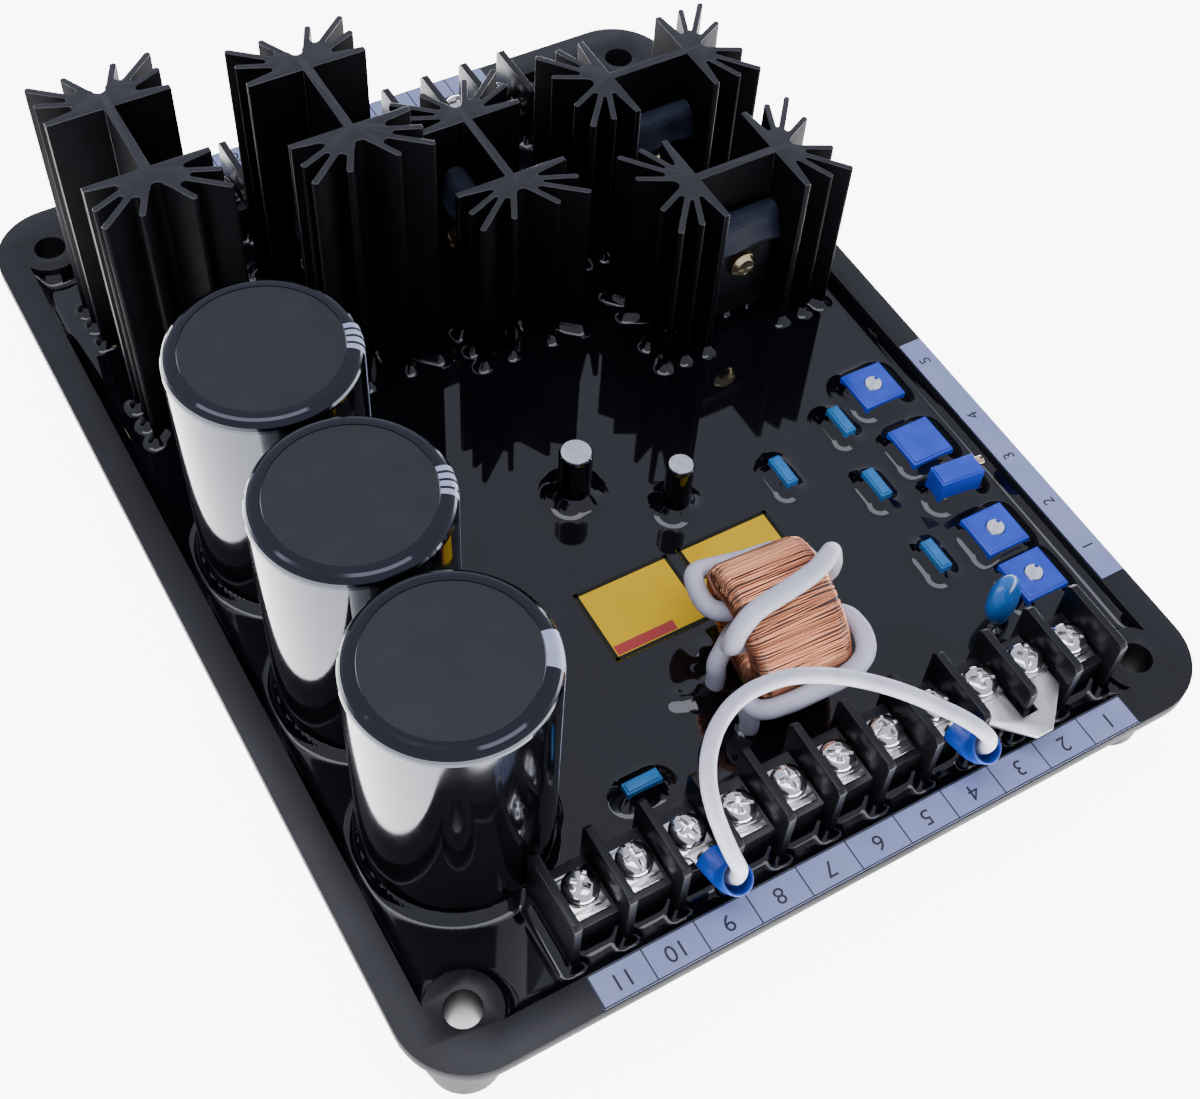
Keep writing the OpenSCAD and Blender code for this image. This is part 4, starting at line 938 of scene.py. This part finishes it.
curve = bpy.data.curves.new("thin_turn", "CURVE")
curve.dimensions = "3D"
curve.bevel_depth = THIN_WIRE / 2 * MM
curve.bevel_resolution = 0
spline = curve.splines.new("POLY")
loop = oblong(RING_HALF - THIN_WIRE / 2, RING_HALF_W - THIN_WIRE / 2, RING_CORNER - 0.2)
spline.points.add(len(loop) - 1)
for knot, (out, along) in zip(spline.points, loop):
    knot.co = (along * MM, 0, (RING_MID_R + out) * MM, 1)
spline.use_cyclic_u = True
turn_piece = as_mesh(linked("thin_turn", curve))
dice = random.Random(3)
turns = []
for i in range(THIN_TURNS):
    tip = Matrix.Rotation(math.radians(1.5 + dice.gauss(0, 1.4)), 4, "Z")
    round_ring = Matrix.Rotation(math.tau * (i + dice.uniform(-0.4, 0.4)) / THIN_TURNS, 4, "X")
    outward = Matrix.Translation((0, 0, dice.uniform(-0.1, 0.05) * MM))
    piece = copied(turn_piece, at_ring @ round_ring @ outward @ tip)
    tone = piece.data.attributes.new("tone", "FLOAT", "POINT")
    tone.data.foreach_set("value", [dice.uniform(0.25, 1.0)] * len(piece.data.vertices))
    turns.append(piece)
bpy.data.objects.remove(turn_piece)
winding = weld(turns)
bpy.ops.object.shade_smooth()
dress(winding, copper)
hand_over(winding, "copper_turns")
print("winding:", THIN_TURNS, "turns,", len(winding.data.polygons), "faces")

# %% [markdown]
# ## The thick wire
#
# A stiff white wire goes three times through the ring. Each turn is a squared loop round the ring's body
# that moves on along the ring, and both ends come down into the resin. The curve becomes a mesh, because
# this wire is wound tight and doesn't hang.

# %% Thread the thick wire
THICK_WIRE = 3.6
TURN_ANGLES = [(0.25, -30), (0.75, -8), (1.25, 52), (1.75, 103), (2.25, 145), (2.75, 185), (3, 200)]
TURN_POINTS = 18
PRIMARY_TURNS = 3
LOOP_ROOM = 0.35
LOOP_OUT = RING_HALF + THICK_WIRE / 2 + LOOP_ROOM
LOOP_SIDE = RING_HALF_W + THICK_WIRE / 2 + LOOP_ROOM
FIRST_PASS = 0.25
LOOP_POWER = 0.56


def squared(value):
    """Swells a sine or cosine, so that the loop has flat sides and round corners."""
    return math.copysign(abs(value) ** LOOP_POWER, value)


def turn_angle(t):
    """The angle round the ring after t turns, between the angles that are given."""
    for (t0, b0), (t1, b1) in zip(TURN_ANGLES, TURN_ANGLES[1:]):
        if t <= t1:
            return math.radians(b0 + (b1 - b0) * (t - t0) / (t1 - t0))
    return math.radians(TURN_ANGLES[-1][1])


def primary_point(t):
    """A point of the thick wire after t turns: along the ring's axis, to the back, and up."""
    a = math.radians(270 - 360 * t)
    b = turn_angle(t)
    r = RING_MID_R + LOOP_OUT * squared(math.cos(a))
    return Vector((LOOP_SIDE * squared(math.sin(a)), r * math.cos(b), r * math.sin(b)))


def stood(x, y, z):
    """A place given upright, seen in the leaning ring's frame."""
    return Vector((x * math.cos(RING_LEAN) + z * math.sin(RING_LEAN), y,
                   z * math.cos(RING_LEAN) - x * math.sin(RING_LEAN)))


hole_pass = primary_point(FIRST_PASS)
last = primary_point(PRIMARY_TURNS - 0.02)
out_x = 1 - LOOP_SIDE * 0.92
thread = [
    stood(-LOOP_SIDE - 0.2, -1.2, -0.4 - RING_LOW), stood(-LOOP_SIDE - 0.2, -1.2, 3.5 - RING_LOW),
    Vector((-LOOP_SIDE - 1.2, -0.6, 7 - RING_R)), Vector((-LOOP_SIDE + 0.6, 0.8, hole_pass.z - 3)),
    Vector((-LOOP_SIDE + 4, 2.6, hole_pass.z - 0.9))]
steps = int(TURN_POINTS * (PRIMARY_TURNS - FIRST_PASS))
thread += [primary_point(FIRST_PASS + i / TURN_POINTS) for i in range(steps + 1)]
thread += [
    Vector((last.x - 0.1, last.y - 0.5, last.z - 2.6)), stood(out_x - 0.2, last.y - 0.9, 3 - RING_LOW),
    stood(out_x, last.y - 0.9, -0.4 - RING_LOW)]
thread = [at_ring @ (place * MM) for place in thread]
primary = wire_curve("primary", thread, [THICK_WIRE * MM] * len(thread), WIRE_FINENESS)
primary = as_mesh(primary)
bpy.ops.object.shade_smooth()
dress(primary, silicone)
hand_over(primary, "primary_turns", stands_for=["primary_wire"])
print("thick wire:", len(primary.data.polygons), "faces")

# %% [markdown]
# ## Print on the labels
#
# The strip labels carry a cell and a number for each terminal. Lines are thin bars on the film, and the
# numbers are text that is turned into a mesh before it is placed. They read from the back of the tray.


# %% Print the strip labels
INK_T = 0.03
INK_EDGE = 0.008
INK_MIDDLE = 0.012
NUMBER_HALF_T = 0.012
NUMBER_MIDDLE = 0.014
NUMBER_SIZE = 4.2
SIDE_NUMBER_SIZE = 3.4
LINE_W = 0.24


def film_bar(length, width, x, y, z):
    """A thin printed bar on a label, with a rounded edge, in millimetres."""
    piece = bar(length, width, INK_T, (x, y, z + INK_MIDDLE))
    return press(piece, "BEVEL", width=INK_EDGE * MM, segments=1)


def film_number(text, size, x, y, z, turn):
    """A printed number, centred on its place, in millimetres."""
    bpy.ops.object.text_add()
    piece = bpy.context.object
    piece.data.body = text
    piece.data.size = size * MM
    piece.data.align_x = "CENTER"
    piece.data.align_y = "CENTER"
    piece.data.extrude = NUMBER_HALF_T * MM
    piece = as_mesh(piece)
    piece.data.transform(shift(x, y, z + NUMBER_MIDDLE) @ Matrix.Rotation(turn, 4, "Z"))
    return piece


def print_label(node, name, count, turn):
    """Cell lines and numbers on one strip label, numbered along X."""
    low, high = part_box(node)
    low, high = low / MM, high / MM
    cell = (high.x - low.x) / count
    middle = (low.y + high.y) / 2
    print_parts = []
    for i in range(count + 1):
        inset = LINE_W / 2 if i == 0 else -LINE_W / 2 if i == count else 0
        print_parts.append(film_bar(LINE_W, high.y - low.y - 0.1, low.x + i * cell + inset, middle, high.z))
    for edge in (low.y + 0.15, high.y - 0.15):
        print_parts.append(film_bar(high.x - low.x, LINE_W, (low.x + high.x) / 2, edge, high.z))
    for i in range(count):
        number = str(count - i) if turn else str(i + 1)
        print_parts.append(film_number(number, NUMBER_SIZE, low.x + (i + 0.5) * cell, middle, high.z, turn))
    return dress(hand_over(weld(print_parts), name), ink)


print_label("front_label", "front_print", FRONT_COUNT, math.pi)
print_label("back_label", "back_print", BACK_COUNT, 0)
low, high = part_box("side_label")
side_x, side_z = (low.x + high.x) / 2 / MM, high.z / MM
TRIMMER_ROWS = (-69.8, -57.9, -45.2, -33.5, -17.1)
side_print = []
for i, y in enumerate(TRIMMER_ROWS):
    side_print.append(film_number(str(i + 1), SIDE_NUMBER_SIZE, side_x, y, side_z, math.pi / 2))
dress(hand_over(weld(side_print), "side_print"), ink)
print("strip labels printed")

# %% [markdown]
# ## Polarity bars on the capacitors
#
# A shrunk sleeve carries a printed bar on the side of the negative lead, which runs over the rounded
# shoulder on to the top. It is a strip of the sleeve's own outline, spun through the bar's few degrees, and
# thickened by a hair. The first capacitor shows one broad bar, and the other two show four thin ones.


# %% Print the capacitor bars
CAP_X = -54.4
CAP_Y = (-63.5, -29.6, 4.3)
CAP_R = 16.7
CAP_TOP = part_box("capacitor_sleeve_1")[1].z / MM
SHOULDER_R = 2.2
BAR_LIFT = 0.02
BAR_ON_TOP = 0.65
BAR_LOW = 24


def sleeve_bar(cap_y, middle, wide):
    """A printed bar on a sleeve, from its lip over the shoulder and down its side; angles in degrees."""
    centre_r, centre_z = CAP_R - SHOULDER_R, CAP_TOP - SHOULDER_R
    outline = [(centre_r - BAR_ON_TOP, CAP_TOP + BAR_LIFT)]
    for step in range(7):
        angle = math.radians(90 - 15 * step)
        round_r = SHOULDER_R + BAR_LIFT
        outline.append((centre_r + round_r * math.cos(angle), centre_z + round_r * math.sin(angle)))
    outline.append((CAP_R + BAR_LIFT, BAR_LOW))
    piece = spun(outline, steps=max(2, round(wide / 2.5)), sweep=math.radians(wide))
    turn = Matrix.Rotation(math.radians(middle - wide / 2), 4, "Z")
    piece.data.transform(shift(CAP_X, cap_y) @ turn)
    press(piece, "SOLIDIFY", thickness=INK_T * MM, offset=0)
    smooth(piece, 40)
    return piece


bars = [sleeve_bar(CAP_Y[0], 4, 25)]
bars += [sleeve_bar(y, -22 + 6 * i, 4) for y in CAP_Y[1:] for i in range(4)]
dress(hand_over(weld(bars), "capacitor_bars"), print_grey)
print("capacitor bars:", len(bars))

# %% [markdown]
# ## The two notice labels
#
# Two yellow labels lie on the resin. They stay plain: a dark film frames each yellow field, and one
# carries a red bar.

# %% Print the notice labels
FRAME_W = 0.8
for side in ("left", "right"):
    node = "notice_label_" + side
    low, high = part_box(node)
    low, high = low / MM, high / MM
    mid = (low + high) / 2
    wide, deep = high.x - low.x, high.y - low.y
    parts = []
    for edge in (-1, 1):
        parts.append(film_bar(wide, FRAME_W, mid.x, mid.y + edge * (deep - FRAME_W) / 2, high.z))
        parts.append(film_bar(FRAME_W, deep, mid.x + edge * (wide - FRAME_W) / 2, mid.y, high.z))
    dress(hand_over(weld(parts), "notice_frame_" + side), frame_ink)
    if side == "left":
        red = film_bar(12.6, 2.1, low.x + 7.3, low.y + 2.05, high.z)
        dress(hand_over(red, "notice_bar"), label_red)
print("notice labels printed")

# %% [markdown]
# ## Floor and light
#
# The photograph was taken on a glowing white table, which gives the tall pale reflections on the sides of
# the capacitors, under a soft box. The floor is given a glow of its own that fades out with distance, the
# tent round it stays dim, so the resin is a dark mirror, and a long soft box overhead draws the small
# bright crescents on the resin's rims.

# %% Set the floor and the lights
bpy.ops.mesh.primitive_plane_add(size=6, location=(0, 0, 0))
floor = bpy.context.object
floor.name = "floor"
floor_white = finish("floor white", (0.84, 0.84, 0.86), (0.86, 0.86, 0.88), (0.6, 0.7), 3, 300, 0.02)
floor_tree = floor_white.node_tree
floor_place = floor_tree.nodes.new("ShaderNodeTexCoord").outputs["Object"]
from_middle = floor_tree.nodes.new("ShaderNodeVectorMath")
from_middle.operation = "LENGTH"
floor_tree.links.new(floor_place, from_middle.inputs[0])
fade = floor_tree.nodes.new("ShaderNodeMapRange")
fade.interpolation_type = "SMOOTHSTEP"
fade.inputs["From Min"].default_value = 0.35
fade.inputs["From Max"].default_value = 1.1
fade.inputs["To Min"].default_value = 1.0
fade.inputs["To Max"].default_value = 0.12
floor_tree.links.new(from_middle.outputs["Value"], fade.inputs["Value"])
glow = floor_tree.nodes.new("ShaderNodeCombineColor")
for channel in ("Red", "Green", "Blue"):
    floor_tree.links.new(fade.outputs["Result"], glow.inputs[channel])
floor_surface = floor_tree.nodes["Principled BSDF"]
floor_tree.links.new(glow.outputs["Color"], floor_surface.inputs["Emission Color"])
floor_surface.inputs["Emission Strength"].default_value = 8
dress(floor, floor_white)

world = bpy.data.worlds.new("tent")
bpy.context.scene.world = world
world.use_nodes = True
world.node_tree.nodes["Background"].inputs["Color"].default_value = (0.79, 0.81, 1, 1)
world.node_tree.nodes["Background"].inputs["Strength"].default_value = 1.1

bpy.ops.object.light_add(type="AREA", location=(-0.1, -0.02, 0.95))
lamp = bpy.context.object
lamp.name = "strip_light"
lamp.data.shape = "RECTANGLE"
lamp.data.size = 1.2
lamp.data.size_y = 0.32
lamp.data.energy = 5.5
lamp.data.color = (0.88, 0.88, 1.0)
lamp.rotation_euler = (0, 0, math.radians(-47))
print("lights set")
